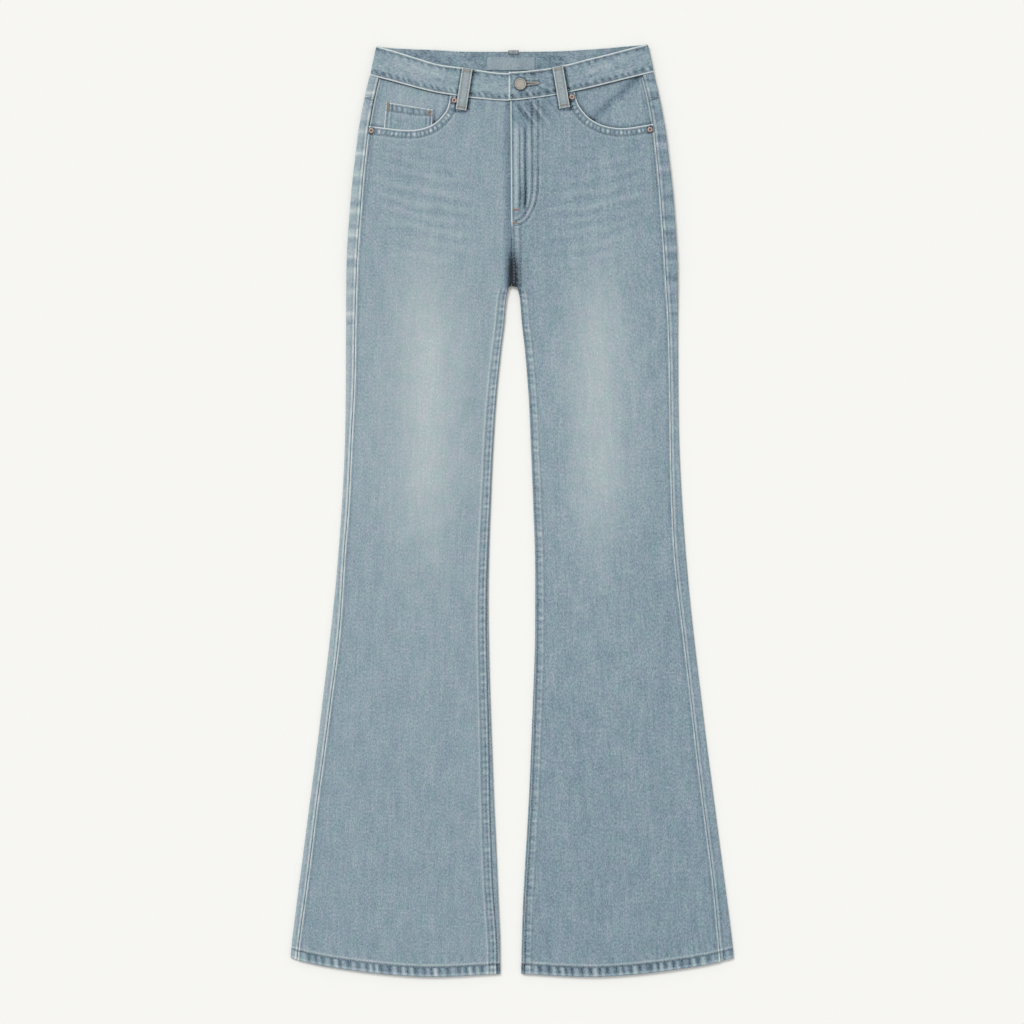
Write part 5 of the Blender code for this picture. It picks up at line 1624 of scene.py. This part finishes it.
def labelPatch():
    u = edgeSpread(40, 57.6)[None, :]
    v = edgeSpread(14, 15.8)[:, None]
    across = blend(waistLabel["left"], waistLabel["right"], u) + 0 * v
    down = blend(waistLabel["top"], waistLabel["foot"], v) + 0.5 * wander(across, 50.0, 1.0)
    fromEdge = np.minimum(np.minimum(u, 1 - u) * 57.6 + 0 * v, np.minimum(v, 1 - v) * 13.8 + 0 * u)
    pale = 0.60 + 0.03 * wander(across * 1.2 + down, 16.0, 1.0) - 0.05 * bell(fromEdge, 1.5)
    relief = 0.12 * wander(across, 24.0, 2.0) - 0.12 * bell(fromEdge - 1.8, 0.6)
    return flatCloth("cloth_waist_label", across, down, waistLabel["low"], waistLabel["high"],
                     pale, relief, True, (looks["label"], looks["label"]), 3.9)


pieces["fly_shield"] = flyShield()
pieces["zip_tape"] = zipTape()
pieces["waist_label"] = labelPatch()
print("stage: inner pieces made")

# Sewing: rows of stitches along paths on the cloth

stitch = {"lift": 0.10}


def sewingTree():
    # stitches along every line of the mesh that it is given
    tree, given, outlet = newTree(
        "sewnRow", "GeometryNodeTree",
        [("Geometry", "Geometry", None), ("Pitch", "Float", 0.0036), ("Length", "Float", 0.0029),
         ("Width", "Float", 0.0006), ("Height", "Float", 0.0004), ("Turn", "Float", 0.0),
         ("Unevenness", "Float", 0.12), ("Seed", "Int", 7), ("Thread", "Material", None)],
        [("Geometry", "Geometry")])
    line = addNode(tree, "GeometryNodeMeshToCurve", {"Mesh": given["Geometry"]})
    points = addNode(tree, "GeometryNodeCurveToPoints", {"Curve": line.outputs["Curve"],
                                                         "Length": given["Pitch"]}, mode="LENGTH")
    bead = addNode(tree, "GeometryNodeMeshUVSphere", {"Segments": 6, "Rings": 4, "Radius": 0.5})
    size = addNode(tree, "ShaderNodeCombineXYZ", {"X": given["Length"], "Y": given["Width"],
                                                  "Z": given["Height"]})
    turned = addNode(tree, "GeometryNodeTransform", {"Geometry": bead.outputs["Mesh"],
                                                     "Rotation": (0.0, math.radians(90), 0.0)})
    shaped = addNode(tree, "GeometryNodeTransform", {"Geometry": turned.outputs["Geometry"],
                                                     "Scale": size.outputs["Vector"]})
    along = addNode(tree, "FunctionNodeAxesToRotation", {
        "Primary Axis": points.outputs["Tangent"], "Secondary Axis": (0.0, 0.0, 1.0)},
        primary_axis="X", secondary_axis="Z")
    # each stitch swings a little about its turn
    uneven = addNode(tree, "FunctionNodeRandomValue", {"Seed": given["Seed"]}, data_type="FLOAT")
    ends = {s.name: s for s in uneven.inputs if s.type == "VALUE"}
    tree.links.new(calc(tree, "MULTIPLY", given["Unevenness"], -1.0), ends["Min"])
    tree.links.new(given["Unevenness"], ends["Max"])
    chance = next(s for s in uneven.outputs if s.type == "VALUE")
    turn = addNode(tree, "ShaderNodeCombineXYZ", {"Z": calc(tree, "ADD", chance, given["Turn"])})
    spin = addNode(tree, "FunctionNodeEulerToRotation", {0: turn.outputs["Vector"]})
    rotate = addNode(tree, "FunctionNodeRotateRotation", {
        "Rotation": along.outputs[0], "Rotate By": spin.outputs[0]}, rotation_space="LOCAL")
    place = addNode(tree, "GeometryNodeInstanceOnPoints", {
        "Points": points.outputs["Points"], "Instance": shaped.outputs["Geometry"],
        "Rotation": rotate.outputs[0]})
    real = addNode(tree, "GeometryNodeRealizeInstances", {"Geometry": place.outputs["Instances"]})
    smooth = addNode(tree, "GeometryNodeSetShadeSmooth", {"Geometry": real.outputs["Geometry"]})
    threads = addNode(tree, "GeometryNodeSetMaterial", {"Geometry": smooth.outputs["Geometry"],
                                                        "Material": given["Thread"]})
    giveOut(tree, outlet, Geometry=threads.outputs["Geometry"])
    return tree


def runTree(piece, tree, values):
    # gives the piece the plain mesh that the tree makes of it
    maker = piece.modifiers.new("make", "NODES")
    maker.node_group = tree
    sockets = {item.name: item.identifier for item in tree.interface.items_tree
               if item.item_type == "SOCKET" and item.in_out == "INPUT"}
    for key, value in values.items():
        maker[sockets[key]] = value
    graph = bpy.context.evaluated_depsgraph_get()
    made = bpy.data.meshes.new_from_object(piece.evaluated_get(graph))
    piece.modifiers.clear()
    piece.data = made
    made.name = piece.name
    return piece


sewing = sewingTree()
sewnLines = {}


def sew(owner, across, down, height, thread="threadGrey", kind="row"):
    # adds a line of stitches on a piece; the line lies a little above the cloth
    points = metres(np.asarray(across, dtype=float), np.asarray(down, dtype=float),
                    np.asarray(height, dtype=float) + stitch["lift"])
    sewnLines.setdefault((owner, thread, kind), []).append(points)


def frontHeight(side, across, down):
    # height of a front panel's face, with its relief
    relief, _ = frontLook(side, across, down)
    turned = turnedIn(side, across, down)
    start = cloth["gap"] / 2 + np.where(down > cloth["crotch"], curve(inseams, down, side["column"]), 0.0)
    along = clothFromFold(side, across, down) + start
    low, top, _ = heightsAt(down, turned)
    quarter = (top - low) / 2 * math.pi / 2
    bent = innerPoint(side, down, np.minimum(along, quarter), -relief, True, turned)[2]
    flat = topPoint(side, across, down, -relief, turned)[2]
    bending = (along < quarter) & (down > cloth["crotch"] - 9)
    return np.where(bending, bent, flat)


def sewFront(side, across, down, thread="threadGrey", kind="row"):
    across, down = np.asarray(across, dtype=float), np.asarray(down, dtype=float)
    sew("front_" + side["name"], across, down, frontHeight(side, across, down), thread, kind)


def besideCurve(points, offset, first, last):
    # line beside a dense curve, between two shares of it
    run = np.gradient(points[:, 0]), np.gradient(points[:, 1])
    size = np.hypot(*run)
    sign = 1.0 if points[-1, 0] > points[0, 0] else -1.0
    across = points[:, 0] - sign * run[1] / size * offset
    down = points[:, 1] + sign * run[0] / size * offset
    chosen = slice(int(first * (len(points) - 1)), int(last * (len(points) - 1)) + 1)
    return across[chosen], down[chosen]


def sewPanels():
    for side in sides.values():
        name, sign = side["name"], side["sign"]
        down = np.arange(294.0, 1103.0, 2.0)
        for row in inseamRows[name]:
            start = cloth["gap"] / 2 + curve(inseams, down, side["column"])
            turned = turnedIn(side, sign * 30.0 + 0 * down, down)
            across, _, _ = innerPoint(side, down, start + row, 0.0, True, turned)
            sewFront(side, across, down)
        inner, outer = float(innerEdge(side, 1105)) + 4.0, float(outseamEdge(side, 1100)) - 1.5
        across = sign * np.linspace(inner, outer, 120)
        sewFront(side, across, hemDown(side, across) - 12.4, "threadBeige")
        opening = openingCurves[name]
        for offset, first, last in ((2.3, 0.05, 0.955), (8.6, 0.115, 0.985)):
            across, lower = besideCurve(opening, offset, first, last)
            sewFront(side, across, lower)
        for row in (2.6, 6.6):
            lower = np.arange(openingEnd[name] + 3.0 + row * 0.5, 181.0, 2.0)
            across = sign * (outseamEdge(side, lower) - cloth["gap"] - row)
            sewFront(side, across, lower)
    left = sides["left"]
    for row in flyRowCurves:
        sewFront(left, row[3:, 0], row[3:, 1])
    lower = np.arange(218.0, 286.0, 1.5)
    for row in riseRows:
        sewFront(left, row + 0 * lower, lower)
    # close bars at the foot of the fly
    for first, last, level in ((1.0, 8.2, 199.2), (1.0, 6.4, 214.8)):
        across = np.linspace(first, last, 12)
        sewFront(left, across, level + 0 * across, "threadRust", "tack")


def sewBand():
    on = band["high"]
    for share, isOver in ((np.linspace(-0.965, 0.13, 160), False), (np.linspace(-0.006, 0.965, 160), True)):
        for rise in (0.085, 0.915):
            half = blend(waistHalf["seam"], waistHalf["top"], rise)
            shorten = 0.0 if isOver else ease((share + 0.3) / 0.2)
            down = blend(curve(waist, share, 2), curve(waist, share, 1) + shorten, rise)
            sew("waistband", share * half, down, on + bandLift(share, isOver))
    ends = np.linspace(0.1, 0.9, 20)
    half = blend(waistHalf["seam"], waistHalf["top"], ends)
    across = (band["overEnd"] + 0.021) * half
    down = blend(curve(waist, band["overEnd"], 2), curve(waist, band["overEnd"], 1), ends)
    sew("waistband", across, down, on + 1.7 + 0 * ends)
    share = np.linspace(-0.96, 0.96, 300)
    for rise in (0.09, 0.91):
        half = blend(waistHalf["seam"], waistHalf["top"], rise)
        down = blend(backBandSeam(share), curve(waist, share, 3), rise)
        sew("waistband", share * half, down, band["low"] - 0.12 - 2 * stitch["lift"])
        sew("waistband", share * half, down, band["low"] + cloth["bandWall"])
    # buttonhole: a ring of close stitches round its slit
    turn = np.linspace(0.0, 2 * math.pi, 60)
    first, last = 4.0, buttonPlace["tip"]
    at = 0.5 - 0.5 * np.cos(turn)
    across = blend(first, last, at)
    line = blend(buttonPlace["down"], buttonPlace["tipDown"], (across - 10.1) / (last - 10.1))
    width = holeHalf((across - 10.1) / (last - 10.1)) * np.clip(np.sin(turn) * 2.2, -1, 1)
    sew("waistband", across, line + width, on + 1.7 - 0.02 + 0.25 + 0 * across, "threadBeige", "hole")


def sewLoops():
    for side in sides.values():
        path, run = frontLoopPath(side)
        slope = -run / loop["length"]
        path = path[8:-8]
        for w in (-loop["sewnAt"], loop["sewnAt"]):
            sew("loop_front_" + side["name"], path[:, 0] + w, path[:, 1] + slope * w,
                path[:, 2] + loop["wall"] / 2)
        path, _ = frontLoopPath(side)
        for place in loop["tacks"]:
            w = np.linspace(-4.6, 4.6, 17)
            row = path[int(place * 2)]
            height = row[2] + loop["wall"] / 2 + 0.2
            sew("loop_front_" + side["name"], row[0] + w, row[1] + slope * w, height + 0 * w,
                "threadTan", "tack")


def sewCoin():
    u = np.linspace(0.05, 0.95, 60)
    for depth in (2.4, 9.0):
        v = depth / 38.0
        across = blend(blend(-151.0, -154.6, v), blend(-95.2, -96.4, v), u)
        down = blend(blend(69.6, 109.5, v), blend(78.6, 110.0, v), u) + 2.6 * v * np.sin(u * math.pi)
        sew("coin_pocket", across, down, coin["high"] + 0 * u)
    v = np.linspace(0.06, 0.80, 24)
    for u in (2.6 / 57, 1 - 2.6 / 57):
        across = blend(blend(-151.0, -154.6, v), blend(-95.2, -96.4, v), u)
        down = blend(blend(69.6, 109.5, v), blend(78.6, 110.0, v), u)
        sew("coin_pocket", across, down, coin["high"] + 0 * v)
    tack = np.linspace(71.4, 80.2, 16)
    sew("coin_pocket", -148.0 - 0.09 * (tack - 71.4), tack, coin["high"] + 0.25 + 0 * tack,
        "threadTan", "wideTack")
    turn = np.linspace(0, 2 * math.pi, 20)
    sew("coin_pocket", -99.0 + 1.9 * np.cos(turn), 82.4 + 2.2 * np.sin(turn), coin["high"] + 0.22 + 0 * turn,
        "threadTan", "tack")
    tail = np.linspace(0, 1, 14)
    sew("coin_pocket", -149.0 + 1.4 * np.sin(tail * 7), 70.4 - 0.2 * tail, coin["high"] + 0.3 + 0 * tail,
        "threadTan", "tack")


def sewBack():
    for side in sides.values():
        name, sign = side["name"], side["sign"]
        out = np.linspace(6.0, 170.0, 110)
        across = sign * out
        low = cloth["hipLow"] - 0.08 - 2 * stitch["lift"]
        for row in (2.0, 8.0):
            sew("back_" + name, across, yokeSeamDown(across) + row, low + 0 * out)
        if sign > 0:
            down = np.arange(118.0, 262.0, 2.0)
            for row in (2.4, 8.6):
                sew("back_left", row + 0 * down, down, low + 0 * down)
        for row in (2.2, 8.4):
            inset = row / 121.0
            v = np.linspace(0.03, 1 - row / 118.0, 60)
            for u in (inset, 1 - inset):
                across, down = patchPlace(u, v)
                sew("pocket_back_" + name, sign * across, down, patch["low"] + 0.14 + 0 * v)
            u = np.linspace(inset, 1 - inset, 60)
            across, down = patchPlace(u, 1 - row / 118.0)
            sew("pocket_back_" + name, sign * across, down, patch["low"] + 0.14 + 0 * u)
        u = np.linspace(0.02, 0.98, 60)
        across, down = patchPlace(u, 13.6 / 116.0)
        sew("pocket_back_" + name, sign * across, down, patch["low"] + 0.14 + 0 * u)


sewPanels()
sewBand()
sewLoops()
sewCoin()
sewBack()

stitchKinds = {
    "row": {"Pitch": 3.6, "Length": 2.9, "Width": 0.62, "Height": 0.42, "Turn": 0.0, "Unevenness": 0.10},
    "tack": {"Pitch": 0.62, "Length": 2.3, "Width": 0.60, "Height": 0.50, "Turn": 90.0, "Unevenness": 0.25},
    "wideTack": {"Pitch": 0.62, "Length": 4.0, "Width": 0.60, "Height": 0.50, "Turn": 90.0,
                 "Unevenness": 0.2},
    "hole": {"Pitch": 0.62, "Length": 2.2, "Width": 0.60, "Height": 0.50, "Turn": 90.0, "Unevenness": 0.15},
}
stitchPieces = {}
for index, ((owner, thread, kind), lines) in enumerate(sorted(sewnLines.items())):
    points = np.concatenate(lines)
    edges, first = [], 0
    for line in lines:
        edges += [(first + k, first + k + 1) for k in range(len(line) - 1)]
        first += len(line)
    label = "stitches_" + owner + "_" + kind + "_" + thread
    mesh = bpy.data.meshes.new(label)
    mesh.from_pydata(points.tolist(), edges, [])
    piece = bpy.data.objects.new(label, mesh)
    bpy.context.scene.collection.objects.link(piece)
    values = {key: value * 0.001 for key, value in stitchKinds[kind].items()
              if key not in ("Turn", "Unevenness")}
    values["Turn"] = math.radians(stitchKinds[kind]["Turn"])
    values["Unevenness"] = stitchKinds[kind]["Unevenness"]
    values["Seed"] = 11 + index
    values["Thread"] = looks[thread]
    runTree(piece, sewing, values)
    stitchPieces.setdefault(owner, []).append(piece)
print("stage: sewing done")

# Button, rivets, zip teeth and slider


def turnedMesh(name, profile, steps, look):
    # closed turned mesh from a profile of radius, height and how dark it is, from the top down
    rings = [(radius * 0.001, height * 0.001) for radius, height, _ in profile]
    dark = [profile[0][2]] + [row[2] for row in profile[1:-1] for _ in range(steps)] + [profile[-1][2]]
    points, faces = [(0.0, 0.0, rings[0][1])], []
    for radius, height in rings[1:-1]:
        for k in range(steps):
            angle = 2 * math.pi * k / steps
            points.append((radius * math.cos(angle), radius * math.sin(angle), height))
    points.append((0.0, 0.0, rings[-1][1]))
    last = len(points) - 1
    count = len(rings) - 2
    for k in range(steps):
        m = (k + 1) % steps
        faces.append((0, 1 + k, 1 + m))
        for ring in range(count - 1):
            start = 1 + ring * steps
            faces.append((start + k, start + steps + k, start + steps + m, start + m))
        start = 1 + (count - 1) * steps
        faces.append((start + k, last, start + m))
    piece = newPiece(name, np.array(points), faces, (look,), None, 40.0)
    shade = piece.data.attributes.new("dark", "FLOAT", "POINT")
    shade.data.foreach_set("value", np.array(dark, dtype=np.float32))
    return piece


button = {"height": 9.1, "steps": 64}
buttonProfile = [
    (0.0, 1.62, 0.0), (0.9, 1.62, 0.0), (1.6, 1.60, 0.0), (2.4, 1.62, 0.05), (2.7, 1.54, 0.2),
    (3.0, 1.62, 0.0), (4.2, 1.66, 0.0), (4.9, 1.72, 0.1), (5.1, 1.62, 0.4), (5.35, 1.66, 0.3),
    (5.6, 2.0, 0.0), (5.85, 2.18, 0.0), (6.3, 2.25, 0.0), (6.7, 2.16, 0.1), (7.0, 1.92, 0.5),
    (7.2, 1.55, 0.8), (7.25, 1.15, 0.9), (7.15, 0.75, 0.9), (6.9, 0.42, 0.9), (6.3, 0.3, 0.8),
    (4.2, 0.25, 0.5), (3.9, 0.0, 0.5), (0.0, 0.0, 0.5),
]
jeansButton = turnedMesh("cast_button", buttonProfile, button["steps"], looks["button"])
jeansButton.data.transform(Matrix.Translation(
    metres(buttonPlace["across"], buttonPlace["down"], button["height"])))
pieces["button"] = jeansButton

rivets = {"height": 7.0, "steps": 28}
rivetProfile = [
    (0.0, 1.08, 0.6), (0.35, 1.06, 0.6), (0.62, 0.92, 0.7), (0.8, 0.62, 0.8), (1.05, 0.60, 0.8),
    (1.3, 0.80, 0.5), (1.7, 1.04, 0.0), (2.3, 1.10, 0.0), (2.8, 0.98, 0.1), (3.2, 0.68, 0.6),
    (3.45, 0.32, 0.9), (3.5, 0.0, 0.9), (0.0, 0.0, 0.5),
]


def headsOnPoints():
    # the head that it is given on every point of the mesh
    tree, given, outlet = newTree(
        "headsOnPoints", "GeometryNodeTree",
        [("Geometry", "Geometry", None), ("Head", "Object", None), ("Size", "Float", 1.0),
         ("Metal", "Material", None)],
        [("Geometry", "Geometry")])
    shape = addNode(tree, "GeometryNodeObjectInfo", {"Object": given["Head"]})
    place = addNode(tree, "GeometryNodeInstanceOnPoints", {
        "Points": given["Geometry"], "Instance": shape.outputs["Geometry"], "Scale": given["Size"]})
    real = addNode(tree, "GeometryNodeRealizeInstances", {"Geometry": place.outputs["Instances"]})
    metal = addNode(tree, "GeometryNodeSetMaterial", {"Geometry": real.outputs["Geometry"],
                                                      "Material": given["Metal"]})
    giveOut(tree, outlet, Geometry=metal.outputs["Geometry"])
    return tree


def onPoints(name, head, points, look):
    # one mesh of the same head on every point
    mesh = bpy.data.meshes.new(name)
    mesh.from_pydata([list(point) for point in points], [], [])
    piece = bpy.data.objects.new(name, mesh)
    bpy.context.scene.collection.objects.link(piece)
    return runTree(piece, headsTree, {"Head": head, "Size": 1.0, "Metal": look})


rivetHead = turnedMesh("rivetHead", rivetProfile, rivets["steps"], looks["copper"])
headsTree = headsOnPoints()
rivetPoints = [metres(across, down, rivets["height"]) for across, down in rivetPlaces.values()]
rivetPiece = onPoints("turned_rivets", rivetHead, rivetPoints, looks["copper"])


def bevelled(name, corners, low, high, look, rounding=0.12):
    # flat plate from corners in the plan, with rounded edges
    shape = bmesh.new()
    lower = [shape.verts.new(metres(across, down, low)) for across, down in corners]
    upper = [shape.verts.new(metres(across, down, high)) for across, down in corners]
    shape.faces.new(lower)
    shape.faces.new(upper[::-1])
    for k in range(len(corners)):
        m = (k + 1) % len(corners)
        shape.faces.new((lower[k], upper[k], upper[m], lower[m]))
    bmesh.ops.recalc_face_normals(shape, faces=shape.faces)
    bmesh.ops.bevel(shape, geom=list(shape.edges), offset=rounding * 0.001, segments=2, affect="EDGES",
                    profile=0.6)
    mesh = bpy.data.meshes.new(name)
    shape.to_mesh(mesh)
    shape.free()
    mesh.materials.append(look)
    mesh.shade_smooth()
    mesh.set_sharp_from_angle(angle=math.radians(50))
    piece = bpy.data.objects.new(name, mesh)
    bpy.context.scene.collection.objects.link(piece)
    return piece


middleDown = cloth["length"] / 2
toothForm = {"back": -0.35, "tip": 2.0, "backHalf": 0.55, "tipHalf": 0.45, "half": 0.6, "rounding": 0.15}
toothCount = int((zipForm["last"] - zipForm["first"] - 3.0) / zipForm["pitch"])
teeth = []
for name, way, shift in (("left", 1.0, 0.0), ("right", -1.0, zipForm["pitch"] / 2)):
    # a row of teeth that point over the middle from one side
    corners = [(way * toothForm[end], middleDown + sign * toothForm[end + "Half"])
               for end, sign in (("back", -1), ("tip", -1), ("tip", 1), ("back", 1))]
    tooth = bevelled("tooth", corners, -toothForm["half"], toothForm["half"], looks["teeth"],
                     toothForm["rounding"])
    places = [metres(zipForm["middle"] - 0.1, zipForm["first"] + 1.6 + k * zipForm["pitch"] + shift,
                     zipForm["teethHeight"]) for k in range(toothCount)]
    teeth.append(onPoints("zip_teeth_" + name, tooth, places, looks["teeth"]))
    bpy.data.objects.remove(tooth, do_unlink=True)
bpy.data.objects.remove(rivetHead, do_unlink=True)

sliderTop = zipForm["first"] - 9.3
sliderParts = {
    # half width at the top, at the foot, first and last place below the top, low, high, rounding
    "slider_body": (4.2, 3.0, 0.0, 9.0, 4.75, 5.55, 0.25),
    "slider_face": (4.0, 2.8, 0.2, 8.8, 5.95, 6.45, 0.2),
    "slider_post": (1.4, 0.6, 0.8, 4.0, 5.5, 6.0, 0.05),
    "slider_bail": (0.8, 0.8, 2.0, 6.6, 6.4, 6.7, 0.1),
}
sliderPieces = []
for name, (topHalf, footHalf, first, last, low, high, rounding) in sliderParts.items():
    corners = [(zipForm["middle"] + across, sliderTop + down) for across, down in (
        (-topHalf, first), (topHalf, first), (footHalf, last), (-footHalf, last))]
    sliderPieces.append(bevelled(name, corners, low, high, looks["teeth"], rounding))
slider = sliderPieces[0]
pieces["zip_slider"] = slider
metalParts = teeth + sliderPieces[1:]
print("stage: metal parts made")

# What rides where, what stands for which solid, and the cut of each piece of cloth

cuts = {
    # width and length of the cloth as it was cut, in millimetres, and the share of it that it fills
    "front_right": (256, 1056, 0.725), "front_left": (256, 1058, 0.725),
    "back_right": (300, 1056, 0.695), "back_left": (300, 1056, 0.70),
    "yoke_right": (190, 76, 0.61), "yoke_left": (190, 76, 0.65),
    "waistband": (700, 36.3, 1.0), "facing_right": (112, 70, 0.83), "facing_left": (112, 70, 0.83),
    "coin_pocket": (59, 40, 0.92), "pocket_back_right": (128, 140, 0.86),
    "pocket_back_left": (128, 140, 0.86),
    "loop_front_right": (12.6, 50, 1.0), "loop_front_left": (12.6, 50, 1.0),
    "loop_back_right": (12.6, 50, 1.0), "loop_back_left": (12.6, 50, 1.0),
    "loop_back_centre": (12.6, 58, 1.0),
    "fly_shield": (40, 149, 0.94), "zip_tape": (18, 125, 1.0), "waist_label": (57.6, 15.8, 1.0),
}
slots = {
    "zip_tape": "tape", "waist_label": "label", "button": "button_metal", "zip_slider": "rivet_metal",
}
restsOn = {
    "front_right": ["back_right"], "front_left": ["back_left"], "back_right": ["floor"],
    "back_left": ["floor"],
    "yoke_right": ["loop_back_right"], "yoke_left": ["loop_back_left"], "waistband": ["loop_back_centre"],
    "facing_right": ["back_right"], "facing_left": ["back_left"], "coin_pocket": ["facing_right"],
    "pocket_back_right": ["floor"], "pocket_back_left": ["floor"], "loop_front_right": ["waistband"],
    "loop_front_left": ["waistband"], "loop_back_right": ["floor"], "loop_back_left": ["floor"],
    "loop_back_centre": ["floor"], "fly_shield": ["back_right", "back_left"], "zip_tape": ["fly_shield"],
    "waist_label": ["waistband"],
}


def clothArea(piece):
    # half of a closed wall's surface is the area of its cloth
    return sum(face.area for face in piece.data.polygons) / 2


for node, piece in pieces.items():
    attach(piece, "root")
    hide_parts(node)
    slots.get(node, "denim")
    sewn = stitchPieces.get(node, [])
    for part in sewn:
        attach(part, "root")
        slots.get(node, "denim")
    if node in cuts:
        width, length, share = cuts[node]
        carried = list(sewn)
        if node == "zip_tape":
            carried += teeth
        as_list(restsOn[node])
        cutArea = width * length * share * 1e-6
        print("cloth", node, "area", round(clothArea(piece), 5), "cut", round(cutArea, 5))
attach(rivetPiece, "root")
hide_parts(*rivetPlaces)
for part in metalParts:
    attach(part, "root")

# Camera, floor and light
camera = bpy.data.objects.new("photoCamera", bpy.data.cameras.new("photoCamera"))
bpy.context.scene.collection.objects.link(camera)
camera.data.lens = 85
camera.data.sensor_width = 36
camera.location = (0.0, -0.0018, 2.907)
camera.data.clip_end = 20
bpy.context.scene.camera = camera

floorMesh = bpy.data.meshes.new("floor")
floorMesh.from_pydata([(x, y, -0.0002) for x, y in ((-6, -6), (6, -6), (6, 6), (-6, 6))], [], [(0, 1, 2, 3)])
floor = bpy.data.objects.new("floor", floorMesh)
bpy.context.scene.collection.objects.link(floor)
floorLook = bpy.data.materials.new("paleFloor")
floorLook.use_nodes = True
floorShader = floorLook.node_tree.nodes["Principled BSDF"]
floorShader.inputs["Base Color"].default_value = (0.945, 0.94, 0.905, 1.0)
floorShader.inputs["Roughness"].default_value = 1.0
floorShader.inputs["Specular IOR Level"].default_value = 0.0
floorMesh.materials.append(floorLook)

world = bpy.data.worlds.new("softStudio")
bpy.context.scene.world = world
world.use_nodes = True
world.node_tree.nodes["Background"].inputs["Color"].default_value = (1.0, 1.0, 1.0, 1.0)
world.node_tree.nodes["Background"].inputs["Strength"].default_value = 0.60
sun = bpy.data.objects.new("softSun", bpy.data.lights.new("softSun", "SUN"))
bpy.context.scene.collection.objects.link(sun)
sun.data.energy = 1.62
sun.data.angle = math.radians(22)
sun.rotation_euler = (math.radians(-34), math.radians(-26), 0.0)
bpy.context.scene.view_settings.view_transform = "Standard"
